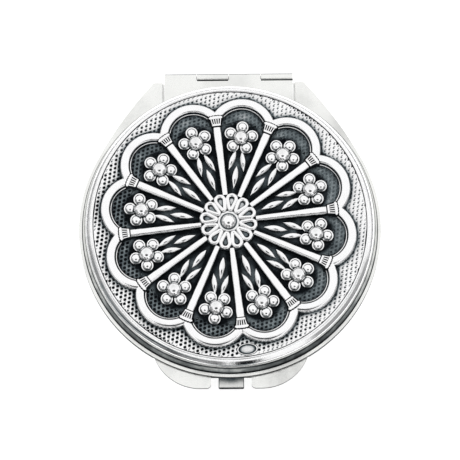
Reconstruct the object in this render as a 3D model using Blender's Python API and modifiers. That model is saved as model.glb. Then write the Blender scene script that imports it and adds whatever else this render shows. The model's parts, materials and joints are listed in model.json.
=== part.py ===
"""Round folding pocket mirror, 70 mm across, with an embossed plaque on its lid.

Metres, +Z up. The closed mirror lies on its flat bottom: the origin is the centre of that
bottom, +Y runs to the hinge and X runs along the hinge pin. The base half is below the
parting plane, the lid half above it, and the latch button slides along Y at the front.
"""

import math

import bmesh
import bpy
from mathutils import Matrix, Vector

MM = 0.001

# Levels of the stacked layers, from the bottom up
BASE_FLOOR = 0.8 * MM
BASE_WALL_TOP = 4.2 * MM
BASE_PLATE_BOTTOM = 4.3 * MM
BASE_PLATE_TOP = 5.1 * MM
PARTING = 5.2 * MM
LID_PLATE_BOTTOM = 5.3 * MM
LID_PLATE_TOP = 6.1 * MM
LID_DECK_BOTTOM = 8.95 * MM
LID_DECK_TOP = 9.45 * MM
FIELD_TOP = 11.25 * MM
RELIEF_TOP = 12.3 * MM
GAP = 0.1 * MM

# Case
CASE_RADIUS = 34.7 * MM
CUP_RIM_RADIUS = 33.25 * MM
CUP_FOOT_RADIUS = 34.0 * MM
CUP_WALL = 0.5 * MM
CUP_WAIST_LEVEL = 7.9 * MM
PLATE_HOLE_RADIUS = 28.6 * MM
MIRROR_RADIUS = 27.7 * MM
BEZEL_OUTER = 28.45 * MM
BEZEL_SKIRT_INNER = 27.95 * MM
BEZEL_LIP_INNER = 26.9 * MM
ROUND_STEPS = 72
HIDDEN_STEPS = 48

# Feet on each side of the button, and shoulders on each side of the hinge
FOOT_FRONT = 37.05 * MM
FOOT_ARC_RADIUS = 11.2 * MM
FOOT_ARC_X = 7.0 * MM
FOOT_ARC_END = math.radians(21)
NOTCH_HALF = 4.6 * MM
NOTCH_BACK = 34.55 * MM
NOTCH_CORNER = 1.0 * MM
SHOULDER_ARC_RADIUS = 93.0 * MM
SHOULDER_TANGENT = math.radians(28)
SHOULDER_BACK = 35.15 * MM
SHOULDER_CORNER_X = 17.6 * MM

# Hinge
HINGE_Y = 36.5 * MM
KNUCKLE_RADIUS = 0.85 * MM
PIN_RADIUS = 0.4 * MM
BORE_RADIUS = 0.45 * MM
LEAF_HALF = 14.9 * MM
LEAF_FRONT_RADIUS = 32.2 * MM
CUTOUT_HALF = 15.4 * MM
CUTOUT_FRONT_RADIUS = 32.0 * MM
KNUCKLE_RELIEF_Y = 35.5 * MM
KNUCKLES = 4
TAB_HALF = 5.5 * MM
TAB_FRONT = 29.2 * MM
TAB_BACK = 32.6 * MM
TAB_THICKNESS = 0.6 * MM
LEAF_RIVET_X = 3.6 * MM
LEAF_RIVET_Y = 30.4 * MM

# Rivets
RIVET_SHANK_RADIUS = 0.6 * MM
RIVET_HOLE_RADIUS = 0.72 * MM
RIVET_HEAD_RADIUS = 1.05 * MM
RIVET_HEAD_HEIGHT = 0.35 * MM
RIVET_STEPS = 10

# Latch
BUTTON_HALF = 2.9 * MM
BUTTON_FRONT = 36.8 * MM
BUTTON_BACK = 33.5 * MM
BUTTON_BOTTOM = 2.3 * MM
BUTTON_TOP = 3.9 * MM
BOLT_BOTTOM = 3.0 * MM
BOLT_TOP = 3.5 * MM
BOLT_HALF = 3.2 * MM
BOLT_FRONT = 33.4 * MM
BOLT_BACK = 30.0 * MM
LOCKING_EDGE = 30.6 * MM
BOLT_WINDOW_FRONT = 32.6 * MM
HOOK_HALF = 2.0 * MM
HOOK_FRONT = 31.8 * MM
HOOK_BACK = 31.3 * MM
HOOK_LIP_BACK = 30.7 * MM
HOOK_BOTTOM = 2.2 * MM
HOOK_LIP_TOP = 2.8 * MM
CATCH_RIVET_X = 3.6 * MM
CATCH_RIVET_Y = 30.2 * MM
GUIDE_BOTTOM = 2.4 * MM
GUIDE_HALF = 3.9 * MM
GUIDE_WALL = 0.5 * MM
GUIDE_BACK = 28.6 * MM
GUIDE_FRONT = 32.6 * MM
GUIDE_EAR_HALF = 6.8 * MM
GUIDE_RIVET_X = 5.4 * MM
SPRING_HALF = 3.0 * MM
SPRING_THICKNESS = 0.15 * MM
SPRING_RISE = 0.65 * MM

# Rosette of the plaque: twelve lobes, each with a flower, between twelve spokes
LOBES = 12
LOBE_STEPS = 10
ROSETTE_TURN = math.radians(6.5)
ROSETTE_SHIFT = Vector((-0.3, 0.2, 0.0)) * MM
LOBE_CENTRE = 21.6 * MM
LOBE_OUTER = 7.6 * MM
LOBE_INNER = 5.6 * MM
SPOKE_INNER_RADIUS = 7.5 * MM
SPOKE_INNER_HALF = 0.5 * MM
SPOKE_OUTER_HALF = 0.75 * MM
DAISY_RADIUS = 6.5 * MM
DAISY_WAVE = 0.35 * MM
DAISY_STEPS = 72
DAISY_TOP = 12.8 * MM
INNER_LEAF_RADIUS = 10.55 * MM
INNER_LEAF_LENGTH = 4.9 * MM
INNER_LEAF_WIDTH = 1.25 * MM
OUTER_LEAF_RADIUS = 14.5 * MM
OUTER_LEAF_LENGTH = 4.2 * MM
OUTER_LEAF_WIDTH = 1.0 * MM
OUTER_LEAF_SPREAD = math.radians(4.9)
OUTER_LEAF_TILT = math.radians(15)
LEAF_STEPS = 4
RELIEF_ROOT = 0.25 * MM
FLOWER_RADIUS = 20.2 * MM
FLOWER_PETAL_OFFSET = 2.65 * MM
FLOWER_PETAL_RADIUS = 1.15 * MM
FLOWER_PETALS = 5
FLOWER_PETAL_TOP_RADIUS = 0.6 * MM
FLOWER_PETAL_TOP = 12.1 * MM
FLOWER_CENTRE_RADIUS = 1.7 * MM
FLOWER_CENTRE_TOP_RADIUS = 0.8 * MM
FLOWER_CENTRE_TOP = 12.6 * MM
BOSS_RADIUS = 2.15 * MM
BOSS_TOP_RADIUS = 1.1 * MM
BOSS_TOP = 13.5 * MM

LATCH_STEEL = ("latch_steel", (0.42, 0.42, 0.42), 0.4, 1.0)
SATIN_SILVER = ("satin_silver", (0.86, 0.85, 0.81), 0.28, 1.0)
POLISHED_SILVER = ("polished_silver", (0.9, 0.9, 0.9), 0.18, 1.0)
MIRROR_GLASS = ("mirror_glass", (0.92, 0.94, 0.94), 0.02, 1.0)
BACKING_FOAM = ("backing_foam", (0.1, 0.1, 0.11), 0.95, 0.0)
RESIN_FILLER = ("resin_filler", (0.35, 0.28, 0.2), 0.7, 0.0)


def clear_scene():
    for scene_object in list(bpy.data.objects):
        bpy.data.objects.remove(scene_object, do_unlink=True)


def new_collection(name):
    collection = bpy.data.collections.new(name)
    bpy.context.scene.collection.children.link(collection)
    return collection


def get_material(spec):
    name, colour, roughness, metallic = spec
    if name in bpy.data.materials:
        return bpy.data.materials[name]
    made = bpy.data.materials.new(name)
    made.use_nodes = True
    shader = made.node_tree.nodes["Principled BSDF"]
    shader.inputs["Base Color"].default_value = (*colour, 1.0)
    shader.inputs["Roughness"].default_value = roughness
    shader.inputs["Metallic"].default_value = metallic
    made.diffuse_color = (*colour, 1.0)
    return made


def place(name, mesh, spec, collection):
    placed = bpy.data.objects.new(name, mesh)
    collection.objects.link(placed)
    mesh.materials.clear()
    mesh.materials.append(get_material(spec))
    return placed


def arc(centre, radius, start, stop, steps):
    """Points along an arc from one angle to another, both ends included."""
    angles = [start + (stop - start) * step / steps for step in range(steps + 1)]
    return [(centre[0] + radius * math.cos(a), centre[1] + radius * math.sin(a)) for a in angles]


def rectangle(left, right, low, high):
    return [(left, low), (right, low), (right, high), (left, high)]


def mirrored(points):
    """The same outline's other half, across X = 0."""
    return [(-x, y) for x, y in reversed(points)]


def turned(name, profile, spec, collection, steps=ROUND_STEPS):
    """Profile of (radius, height) points turned about Z. A profile whose ends aren't both
    on the axis is a ring's section and is closed."""
    mesh = bpy.data.meshes.new(name)
    points = [(radius, 0.0, height) for radius, height in profile]
    edges = [(index, index + 1) for index in range(len(points) - 1)]
    if profile[0][0] > 0.0 or profile[-1][0] > 0.0:
        edges.append((len(points) - 1, 0))
    mesh.from_pydata(points, edges, [])
    made = place(name, mesh, spec, collection)
    screw = made.modifiers.new("turn", "SCREW")
    screw.axis = "Z"
    screw.steps = steps
    screw.render_steps = steps
    screw.use_merge_vertices = True
    screw.merge_threshold = 0.00001
    screw.use_normal_calculate = False
    screw.use_smooth_shade = True
    return made


def flat(name, outlines, bottom, top, spec, collection):
    """Closed outlines filled as one flat shape, inner ones as holes, and given a thickness."""
    curve = bpy.data.curves.new(name, "CURVE")
    curve.dimensions = "2D"
    curve.fill_mode = "BOTH"
    curve.extrude = (top - bottom) / 2
    for outline in outlines:
        spline = curve.splines.new("POLY")
        spline.points.add(len(outline) - 1)
        for point, (x, y) in zip(spline.points, outline):
            point.co = (x, y, 0.0, 1.0)
        spline.use_cyclic_u = True
    drawn = bpy.data.objects.new(name + "_outline", curve)
    collection.objects.link(drawn)
    drawn.location = (0.0, 0.0, (top + bottom) / 2)
    graph = bpy.context.evaluated_depsgraph_get()
    mesh = bpy.data.meshes.new_from_object(drawn.evaluated_get(graph))
    welder = bmesh.new()
    welder.from_mesh(mesh)
    bmesh.ops.remove_doubles(welder, verts=welder.verts, dist=0.000001)
    bmesh.ops.recalc_face_normals(welder, faces=welder.faces)
    welder.to_mesh(mesh)
    welder.free()
    made = place(name, mesh, spec, collection)
    made.matrix_world = Matrix.Translation(drawn.location)
    bpy.data.objects.remove(drawn, do_unlink=True)
    bpy.data.curves.remove(curve)
    return made


def box(name, low, high, spec, collection):
    """Box between two corners, with its origin at its centre."""
    size = [high[i] - low[i] for i in range(3)]
    shape = bmesh.new()
    bmesh.ops.create_cube(shape, size=1.0, matrix=Matrix.Diagonal((*size, 1.0)))
    mesh = bpy.data.meshes.new(name)
    shape.to_mesh(mesh)
    shape.free()
    made = place(name, mesh, spec, collection)
    made.location = [(high[i] + low[i]) / 2 for i in range(3)]
    return made


def frusta(name, centres, bottom, top, radius, top_radius, segments, collection):
    """Upright cones with flat tops at several places, in one object."""
    shape = bmesh.new()
    for x, y in centres:
        bmesh.ops.create_cone(
            shape,
            cap_ends=True,
            segments=segments,
            radius1=radius,
            radius2=top_radius,
            depth=top - bottom,
            matrix=Matrix.Translation((x, y, (top + bottom) / 2)),
        )
    mesh = bpy.data.meshes.new(name)
    shape.to_mesh(mesh)
    shape.free()
    return place(name, mesh, SATIN_SILVER, collection)


def combine(target, tool, operation):
    """Boolean of one object with another, which stays as a hidden guide."""
    tool.hide_render = True
    tool.display_type = "WIRE"
    modifier = target.modifiers.new(tool.name, "BOOLEAN")
    modifier.operation = operation
    modifier.solver = "EXACT"
    modifier.object = tool


def cut(target, *tools):
    for tool in tools:
        combine(target, tool, "DIFFERENCE")


def join(target, *tools):
    for tool in tools:
        combine(target, tool, "UNION")


def round_edges(target, width):
    bevel = target.modifiers.new("rounded_edges", "BEVEL")
    bevel.width = width
    bevel.segments = 2
    bevel.limit_method = "ANGLE"
    bevel.angle_limit = math.radians(40)


def rivet_holes(name, x, y, bottom, top, cutters):
    """Cutter for a pair of holes at -x and +x."""
    return frusta(
        name, [(-x, y), (x, y)], bottom, top, RIVET_HOLE_RADIUS, RIVET_HOLE_RADIUS, RIVET_STEPS, cutters
    )


def rivet_pair(name, x, y, bottom, top, head_up, spec, collection):
    """A rivet at -x and one at +x, with a domed head at one end of the shank."""
    head, rim = RIVET_HEAD_RADIUS, RIVET_HEAD_HEIGHT
    if head_up:
        profile = [
            (0.0, top + rim),
            (head * 0.6, top + rim),
            (head, top + rim * 0.35),
            (head, top),
            (RIVET_SHANK_RADIUS, top),
            (RIVET_SHANK_RADIUS, bottom),
            (0.0, bottom),
        ]
    else:
        profile = [
            (0.0, top),
            (RIVET_SHANK_RADIUS, top),
            (RIVET_SHANK_RADIUS, bottom),
            (head, bottom),
            (head, bottom - rim * 0.35),
            (head * 0.6, bottom - rim),
            (0.0, bottom - rim),
        ]
    for side, sign in (("left", -1), ("right", 1)):
        rivet = turned(f"{name}_{side}", profile, spec, collection, steps=RIVET_STEPS)
        rivet.location = (sign * x, y, 0.0)


def shoulder_outline():
    """Right-hand edge of a plate from the case circle round the shoulder to the cut-out."""
    tangent = Vector((math.cos(SHOULDER_TANGENT), math.sin(SHOULDER_TANGENT)))
    centre = -tangent * (SHOULDER_ARC_RADIUS - CASE_RADIUS)
    stop = math.asin((SHOULDER_BACK - centre.y) / SHOULDER_ARC_RADIUS)
    points = arc(centre, SHOULDER_ARC_RADIUS, SHOULDER_TANGENT, stop, 8)
    corner = (SHOULDER_CORNER_X, SHOULDER_BACK)
    points = [point for point in points if point[0] > SHOULDER_CORNER_X + 0.4 * MM]
    points.append((corner[0] + 0.15 * MM, corner[1] - 0.2 * MM))
    points.append((corner[0] - 0.4 * MM, corner[1]))
    return points


def cutout_outline():
    """Right half of the hinge cut-out's edge, from the back to the middle of its front."""
    side = math.acos(CUTOUT_HALF / CUTOUT_FRONT_RADIUS)
    return [(CUTOUT_HALF, SHOULDER_BACK)] + arc((0, 0), CUTOUT_FRONT_RADIUS, side, math.pi / 2, 8)


def foot_outline():
    """Right-hand foot from the notch's back to the case circle, seen from above."""
    front = -FOOT_FRONT
    centre = (FOOT_ARC_X, front + FOOT_ARC_RADIUS)
    notch = arc((NOTCH_HALF + NOTCH_CORNER, front + NOTCH_CORNER), NOTCH_CORNER, math.pi, 1.5 * math.pi, 4)
    return [(NOTCH_HALF, -NOTCH_BACK)] + notch + arc(centre, FOOT_ARC_RADIUS, -math.pi / 2, -FOOT_ARC_END, 10)


def plate_outline(with_feet):
    """Outer outline of a half's plate, run once round from the front."""
    if with_feet:
        right = foot_outline()
        start = math.atan2(right[-1][1], right[-1][0]) + math.radians(2)
    else:
        right = []
        start = -math.pi / 2 + math.pi / ROUND_STEPS
    right += arc((0, 0), CASE_RADIUS, start, SHOULDER_TANGENT - math.radians(2), 32)
    right += shoulder_outline() + cutout_outline()
    return right + mirrored(right)[1:]


def make_hinge_leaf(name, lid_side, parts, cutters):
    """Leaf with every second knuckle, the bearing for the pin, and a joggled tab that is
    riveted over the plate's ring."""
    up = 1.0 if lid_side else -1.0
    near, far = 0.1 * MM, 0.9 * MM
    tab_near = (LID_PLATE_TOP - PARTING) + GAP

    def level(first, second):
        ends = (PARTING + up * first, PARTING + up * second)
        return min(ends), max(ends)

    side = math.acos(LEAF_HALF / LEAF_FRONT_RADIUS)
    front = arc((0, 0), LEAF_FRONT_RADIUS, math.pi - side, side, 16)
    bay = 2 * LEAF_HALF / KNUCKLES
    own = [index % 2 == (0 if lid_side else 1) for index in range(KNUCKLES)]
    edge = []
    for index in range(KNUCKLES):
        left = -LEAF_HALF + index * bay
        trim_left = GAP / 2 if index else 0.0
        trim_right = GAP / 2 if index < KNUCKLES - 1 else 0.0
        back = HINGE_Y if own[index] else KNUCKLE_RELIEF_Y
        grow = -1.0 if own[index] else 1.0
        edge.append((left - grow * trim_left, back))
        edge.append((left + bay + grow * trim_right, back))
    leaf = flat(name, [edge + front[::-1]], *level(near, far), SATIN_SILVER, parts)
    for index in range(KNUCKLES):
        if not own[index]:
            continue
        left = -LEAF_HALF + index * bay + (GAP / 2 if index else 0.0)
        right = -LEAF_HALF + (index + 1) * bay - (GAP / 2 if index < KNUCKLES - 1 else 0.0)
        join(leaf, barrel(f"{name}_knuckle_{index}", left, right, KNUCKLE_RADIUS, cutters))
    tab = flat(
        name + "_tab",
        [rectangle(-TAB_HALF, TAB_HALF, TAB_FRONT, TAB_BACK)],
        *level(tab_near, tab_near + TAB_THICKNESS),
        SATIN_SILVER,
        cutters,
    )
    joggle_front = CUTOUT_FRONT_RADIUS + 0.2 * MM
    joggle = flat(
        name + "_joggle",
        [rectangle(-TAB_HALF + 0.05 * MM, TAB_HALF - 0.05 * MM, joggle_front, TAB_BACK - 0.02 * MM)],
        *level(near + 0.05 * MM, tab_near + TAB_THICKNESS - 0.05 * MM),
        SATIN_SILVER,
        cutters,
    )
    join(leaf, joggle, tab)
    bore = barrel(name + "_bore", -LEAF_HALF - MM, LEAF_HALF + MM, BORE_RADIUS, cutters)
    low, high = level(tab_near - GAP, tab_near + TAB_THICKNESS + GAP)
    cut(leaf, bore, rivet_holes(name + "_rivet_holes", LEAF_RIVET_X, LEAF_RIVET_Y, low, high, cutters))
    return leaf


def barrel(name, left, right, radius, collection):
    """Cylinder along the hinge axis."""
    shape = bmesh.new()
    bmesh.ops.create_cone(
        shape, cap_ends=True, segments=20, radius1=radius, radius2=radius, depth=right - left
    )
    mesh = bpy.data.meshes.new(name)
    shape.to_mesh(mesh)
    shape.free()
    made = place(name, mesh, SATIN_SILVER, collection)
    made.rotation_euler = (0.0, math.pi / 2, 0.0)
    made.location = ((left + right) / 2, HINGE_Y, PARTING)
    return made


def make_base_case(parts, cutters):
    shell_profile = [
        (0.0, BASE_FLOOR),
        (31.2 * MM, BASE_FLOOR),
        (32.3 * MM, 1.1 * MM),
        (33.0 * MM, 1.8 * MM),
        (33.2 * MM, 2.6 * MM),
        (33.2 * MM, BASE_WALL_TOP),
        (34.0 * MM, BASE_WALL_TOP),
        (34.0 * MM, 2.4 * MM),
        (33.7 * MM, 1.2 * MM),
        (32.9 * MM, 0.4 * MM),
        (31.6 * MM, 0.0),
        (0.0, 0.0),
    ]
    shell = turned("base_shell", shell_profile, SATIN_SILVER, parts)
    window_half = BUTTON_HALF + 0.2 * MM
    window = box(
        "button_window",
        (-window_half, -CASE_RADIUS, BUTTON_BOTTOM - 0.2 * MM),
        (window_half, -32.0 * MM, BASE_WALL_TOP + MM),
        SATIN_SILVER,
        cutters,
    )
    cut(shell, window)

    hole = arc((0, 0), PLATE_HOLE_RADIUS, 0, 2 * math.pi, ROUND_STEPS)[:-1]
    plate = flat(
        "base_plate",
        [plate_outline(True), hole, hook_slot()],
        BASE_PLATE_BOTTOM,
        BASE_PLATE_TOP,
        SATIN_SILVER,
        parts,
    )
    below, above = BASE_PLATE_BOTTOM - MM, BASE_PLATE_TOP + MM
    cut(
        plate,
        rivet_holes("base_plate_leaf_holes", LEAF_RIVET_X, LEAF_RIVET_Y, below, above, cutters),
        rivet_holes("base_plate_guide_holes", GUIDE_RIVET_X, -LEAF_RIVET_Y, below, above, cutters),
    )


def hook_slot():
    """Opening in both plates for the lid's hook, long enough for its lip."""
    half = HOOK_HALF + 0.3 * MM
    return rectangle(-half, half, -HOOK_FRONT - 0.3 * MM, -HOOK_LIP_BACK + 0.3 * MM)


def mirror_bezel(name, outer_level, lip_near, lip_far, parts):
    """Ring of L section round a mirror: a skirt, and a lip over the mirror's edge."""
    profile = [
        (BEZEL_LIP_INNER, lip_far),
        (BEZEL_OUTER, lip_far),
        (BEZEL_OUTER, outer_level),
        (BEZEL_SKIRT_INNER, outer_level),
        (BEZEL_SKIRT_INNER, lip_near),
        (BEZEL_LIP_INNER + 0.15 * MM, lip_near),
    ]
    if lip_far < lip_near:
        profile.reverse()
    return turned(name, profile, SATIN_SILVER, parts, steps=HIDDEN_STEPS)


def disc(name, radius, bottom, top, spec, parts, edge=0.15 * MM):
    profile = [
        (0.0, top),
        (radius - edge, top),
        (radius, top - edge),
        (radius, bottom + edge),
        (radius - edge, bottom),
        (0.0, bottom),
    ]
    return turned(name, profile, spec, parts, steps=HIDDEN_STEPS)


def make_base_mirror(parts):
    disc("base_mirror_pad", MIRROR_RADIUS - 0.2 * MM, BASE_FLOOR + GAP, 2.5 * MM, BACKING_FOAM, parts)
    disc("base_mirror", MIRROR_RADIUS, 2.6 * MM, 4.3 * MM, MIRROR_GLASS, parts)
    mirror_bezel("base_mirror_bezel", BASE_FLOOR + GAP, 4.4 * MM, BASE_PLATE_TOP, parts)


def make_lid_mirror(parts):
    """Magnifying mirror: flat back, and a face hollowed towards the centre."""
    back, rim, hollow = 7.7 * MM, 5.95 * MM, 0.55 * MM
    disc("lid_mirror_pad", MIRROR_RADIUS - 0.2 * MM, back + GAP, LID_DECK_BOTTOM - GAP, BACKING_FOAM, parts)
    face = []
    rings = 6
    for ring in range(rings + 1):
        share = ring / rings
        face.append(((MIRROR_RADIUS - 0.4 * MM) * (1 - share), rim + hollow * (1 - (1 - share) ** 2)))
    profile = [(0.0, back), (MIRROR_RADIUS, back), (MIRROR_RADIUS, rim + 0.2 * MM)] + face
    turned("lid_mirror", profile, MIRROR_GLASS, parts, steps=HIDDEN_STEPS)
    mirror_bezel("lid_mirror_bezel", LID_DECK_BOTTOM - GAP, rim - GAP, LID_PLATE_BOTTOM, parts)


def make_lid_case(parts, cutters):
    hole = arc((0, 0), PLATE_HOLE_RADIUS, 0, 2 * math.pi, ROUND_STEPS)[:-1]
    plate = flat(
        "lid_plate",
        [plate_outline(False), hole, hook_slot()],
        LID_PLATE_BOTTOM,
        LID_PLATE_TOP,
        SATIN_SILVER,
        parts,
    )
    below, above = LID_PLATE_BOTTOM - MM, LID_PLATE_TOP + MM
    cut(
        plate,
        rivet_holes("lid_plate_leaf_holes", LEAF_RIVET_X, LEAF_RIVET_Y, below, above, cutters),
        rivet_holes("lid_plate_catch_holes", CATCH_RIVET_X, -CATCH_RIVET_Y, below, above, cutters),
    )
    foot = LID_PLATE_TOP + GAP
    waist = CUP_RIM_RADIUS + 0.3 * MM
    cup_profile = [
        (0.0, LID_DECK_TOP),
        (CUP_RIM_RADIUS - 0.3 * MM, LID_DECK_TOP),
        (CUP_RIM_RADIUS - 0.1 * MM, LID_DECK_TOP - 0.15 * MM),
        (CUP_RIM_RADIUS, LID_DECK_TOP - 0.45 * MM),
        (waist, CUP_WAIST_LEVEL),
        (CUP_FOOT_RADIUS, foot),
        (CUP_FOOT_RADIUS - CUP_WALL, foot),
        (waist - CUP_WALL, CUP_WAIST_LEVEL),
        (CUP_RIM_RADIUS - CUP_WALL, LID_DECK_BOTTOM),
        (0.0, LID_DECK_BOTTOM),
    ]
    turned("lid_cup", cup_profile, SATIN_SILVER, parts)


def make_latch(parts, cutters):
    button = box(
        "latch_button",
        (-BUTTON_HALF, -BUTTON_FRONT, BUTTON_BOTTOM),
        (BUTTON_HALF, -BUTTON_BACK, BUTTON_TOP),
        SATIN_SILVER,
        parts,
    )
    round_edges(button, 0.2 * MM)

    bolt_window = rectangle(
        -HOOK_HALF - 0.4 * MM, HOOK_HALF + 0.4 * MM, -BOLT_WINDOW_FRONT, -LOCKING_EDGE
    )
    bolt_outline = [
        (-BUTTON_HALF + 0.2 * MM, -BOLT_FRONT),
        (BUTTON_HALF - 0.2 * MM, -BOLT_FRONT),
        (BUTTON_HALF - 0.2 * MM, -32.4 * MM),
        (BOLT_HALF, -32.2 * MM),
        (BOLT_HALF, -BOLT_BACK),
        (-BOLT_HALF, -BOLT_BACK),
        (-BOLT_HALF, -32.2 * MM),
        (-BUTTON_HALF + 0.2 * MM, -32.4 * MM),
    ]
    flat("latch_bolt", [bolt_outline, bolt_window], BOLT_BOTTOM, BOLT_TOP, LATCH_STEEL, parts)

    guide_floor = GUIDE_BOTTOM + 0.5 * MM
    outline = rectangle(-GUIDE_HALF, GUIDE_HALF, -GUIDE_FRONT, -GUIDE_BACK)
    guide = flat("latch_guide", [outline, hook_slot()], GUIDE_BOTTOM, guide_floor, LATCH_STEEL, parts)
    inner = GUIDE_HALF - GUIDE_WALL
    walls = [
        (-GUIDE_HALF, -GUIDE_BACK),
        (-GUIDE_HALF, -GUIDE_FRONT),
        (-inner, -GUIDE_FRONT),
        (-inner, -GUIDE_BACK - 0.35 * MM),
        (inner, -GUIDE_BACK - 0.35 * MM),
        (inner, -GUIDE_FRONT),
        (GUIDE_HALF, -GUIDE_FRONT),
        (GUIDE_HALF, -GUIDE_BACK),
    ]
    wall_top = BASE_PLATE_BOTTOM - GAP
    join(guide, flat("guide_walls", [walls], GUIDE_BOTTOM, wall_top, LATCH_STEEL, cutters))
    for side in (-1, 1):
        ends = sorted((side * (GUIDE_HALF - 0.2 * MM), side * GUIDE_EAR_HALF))
        ear = rectangle(*ends, -31.8 * MM, -28.9 * MM)
        bottom = wall_top - 0.5 * MM
        join(guide, flat(f"guide_ear_{side}", [ear], bottom, wall_top, LATCH_STEEL, cutters))
    holes = rivet_holes("guide_holes", GUIDE_RIVET_X, -LEAF_RIVET_Y, 3.0 * MM, 5.0 * MM, cutters)
    cut(guide, holes)
    rivet_pair(
        "latch_guide_rivet",
        GUIDE_RIVET_X,
        -LEAF_RIVET_Y,
        wall_top - 0.5 * MM - GAP,
        BASE_PLATE_TOP,
        False,
        LATCH_STEEL,
        parts,
    )

    radius = (SPRING_HALF**2 + SPRING_RISE**2) / (2 * SPRING_RISE)
    half_angle = math.asin(SPRING_HALF / radius)
    centre = (0.0, -BOLT_BACK + GAP + radius)
    down = -math.pi / 2
    outer = arc(centre, radius, down - half_angle, down + half_angle, 12)
    inner_arc = arc(centre, radius - SPRING_THICKNESS, down + half_angle, down - half_angle, 12)
    flat("latch_spring", [outer + inner_arc], BOLT_BOTTOM, BOLT_TOP, LATCH_STEEL, parts)

    plate_top = LID_PLATE_TOP + GAP
    foot_top = plate_top + TAB_THICKNESS
    foot_outline_points = rectangle(-5.0 * MM, 5.0 * MM, -HOOK_FRONT, -29.0 * MM)
    catch = flat("lid_catch", [foot_outline_points], plate_top, foot_top, LATCH_STEEL, parts)
    strip = box(
        "catch_strip",
        (-HOOK_HALF, -HOOK_FRONT + 0.01 * MM, HOOK_BOTTOM),
        (HOOK_HALF, -HOOK_BACK, foot_top - 0.1 * MM),
        LATCH_STEEL,
        cutters,
    )
    lip = box(
        "catch_lip",
        (-HOOK_HALF + 0.1 * MM, -HOOK_BACK - 0.2 * MM, HOOK_BOTTOM + 0.02 * MM),
        (HOOK_HALF - 0.1 * MM, -HOOK_LIP_BACK, HOOK_LIP_TOP),
        LATCH_STEEL,
        cutters,
    )
    join(catch, strip, lip)
    holes = rivet_holes("catch_holes", CATCH_RIVET_X, -CATCH_RIVET_Y, plate_top - MM, foot_top + MM, cutters)
    cut(catch, holes)
    rivet_pair(
        "lid_catch_rivet",
        CATCH_RIVET_X,
        -CATCH_RIVET_Y,
        LID_PLATE_BOTTOM,
        foot_top + GAP,
        True,
        LATCH_STEEL,
        parts,
    )


def make_hinge(parts, cutters):
    make_hinge_leaf("lid_hinge_leaf", True, parts, cutters)
    make_hinge_leaf("base_hinge_leaf", False, parts, cutters)
    pin_half = LEAF_HALF - 0.1 * MM
    pin = barrel("hinge_pin", -pin_half, pin_half, PIN_RADIUS, parts)
    pin.data.materials.clear()
    pin.data.materials.append(get_material(LATCH_STEEL))
    reach = (LID_PLATE_TOP - PARTING) + 2 * GAP + TAB_THICKNESS
    rivet_pair(
        "lid_leaf_rivet",
        LEAF_RIVET_X,
        LEAF_RIVET_Y,
        LID_PLATE_BOTTOM,
        PARTING + reach,
        True,
        SATIN_SILVER,
        parts,
    )
    rivet_pair(
        "base_leaf_rivet",
        LEAF_RIVET_X,
        LEAF_RIVET_Y,
        PARTING - reach,
        BASE_PLATE_TOP,
        False,
        SATIN_SILVER,
        parts,
    )


def polar(radius, angle):
    return radius * math.cos(angle), radius * math.sin(angle)


def turned_by(points, angle):
    cosine, sine = math.cos(angle), math.sin(angle)
    return [(x * cosine - y * sine, x * sine + y * cosine) for x, y in points]


def scalloped_outline():
    """Outer edge of the frame: one arc for each lobe, meeting in cusps over the spokes."""
    half = math.pi / LOBES
    reach = LOBE_CENTRE * math.cos(half) + math.sqrt(
        LOBE_OUTER**2 - (LOBE_CENTRE * math.sin(half)) ** 2
    )
    cusp = polar(reach, half)
    swing = math.atan2(cusp[1], cusp[0] - LOBE_CENTRE)
    lobe = arc((LOBE_CENTRE, 0), LOBE_OUTER, -swing, swing, LOBE_STEPS)[:-1]
    points = []
    for index in range(LOBES):
        points += turned_by(lobe, ROSETTE_TURN + half + 2 * half * index)
    return points


def pocket_outline():
    """Inner edge of the frame and spokes: a round-headed pocket between each two spokes,
    all of them open towards the middle."""
    half = math.pi / LOBES
    near = LOBE_CENTRE * math.sin(half) - SPOKE_OUTER_HALF
    along = LOBE_CENTRE * math.cos(half) + math.sqrt(LOBE_INNER**2 - near**2)
    spoke = Vector(polar(1.0, half))
    across = Vector((spoke.y, -spoke.x))
    shoulder = spoke * along + across * SPOKE_OUTER_HALF
    foot = spoke * SPOKE_INNER_RADIUS + across * SPOKE_INNER_HALF
    swing = math.atan2(shoulder.y, shoulder.x - LOBE_CENTRE)
    head = arc((LOBE_CENTRE, 0), LOBE_INNER, -swing, swing, LOBE_STEPS)
    pocket = [(foot.x, -foot.y)] + head + [(foot.x, foot.y)]
    points = []
    for index in range(LOBES):
        points += turned_by(pocket, ROSETTE_TURN + half + 2 * half * index)
    return points


def leaf_outline(radius, angle, length, width, tilt):
    """Pointed leaf centred at a radius and angle, its length along the radius but for a tilt."""
    points = []
    for side in (1, -1):
        for step in range(LEAF_STEPS):
            share = step / LEAF_STEPS
            x = side * length * (share - 0.5)
            y = side * width / 2 * math.sin(math.pi * share)
            points.append((x, -y))
    placed = turned_by(points, angle + tilt)
    centre = polar(radius, angle)
    return [(x + centre[0], y + centre[1]) for x, y in placed]


def daisy_points(first_petal):
    """Wavy outline of the twelve-petalled daisy in the middle."""
    points = []
    for step in range(DAISY_STEPS):
        angle = 2 * math.pi * step / DAISY_STEPS
        wave = DAISY_WAVE * math.cos(LOBES * (angle - first_petal))
        points.append(polar(DAISY_RADIUS + wave, angle))
    return points


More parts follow.
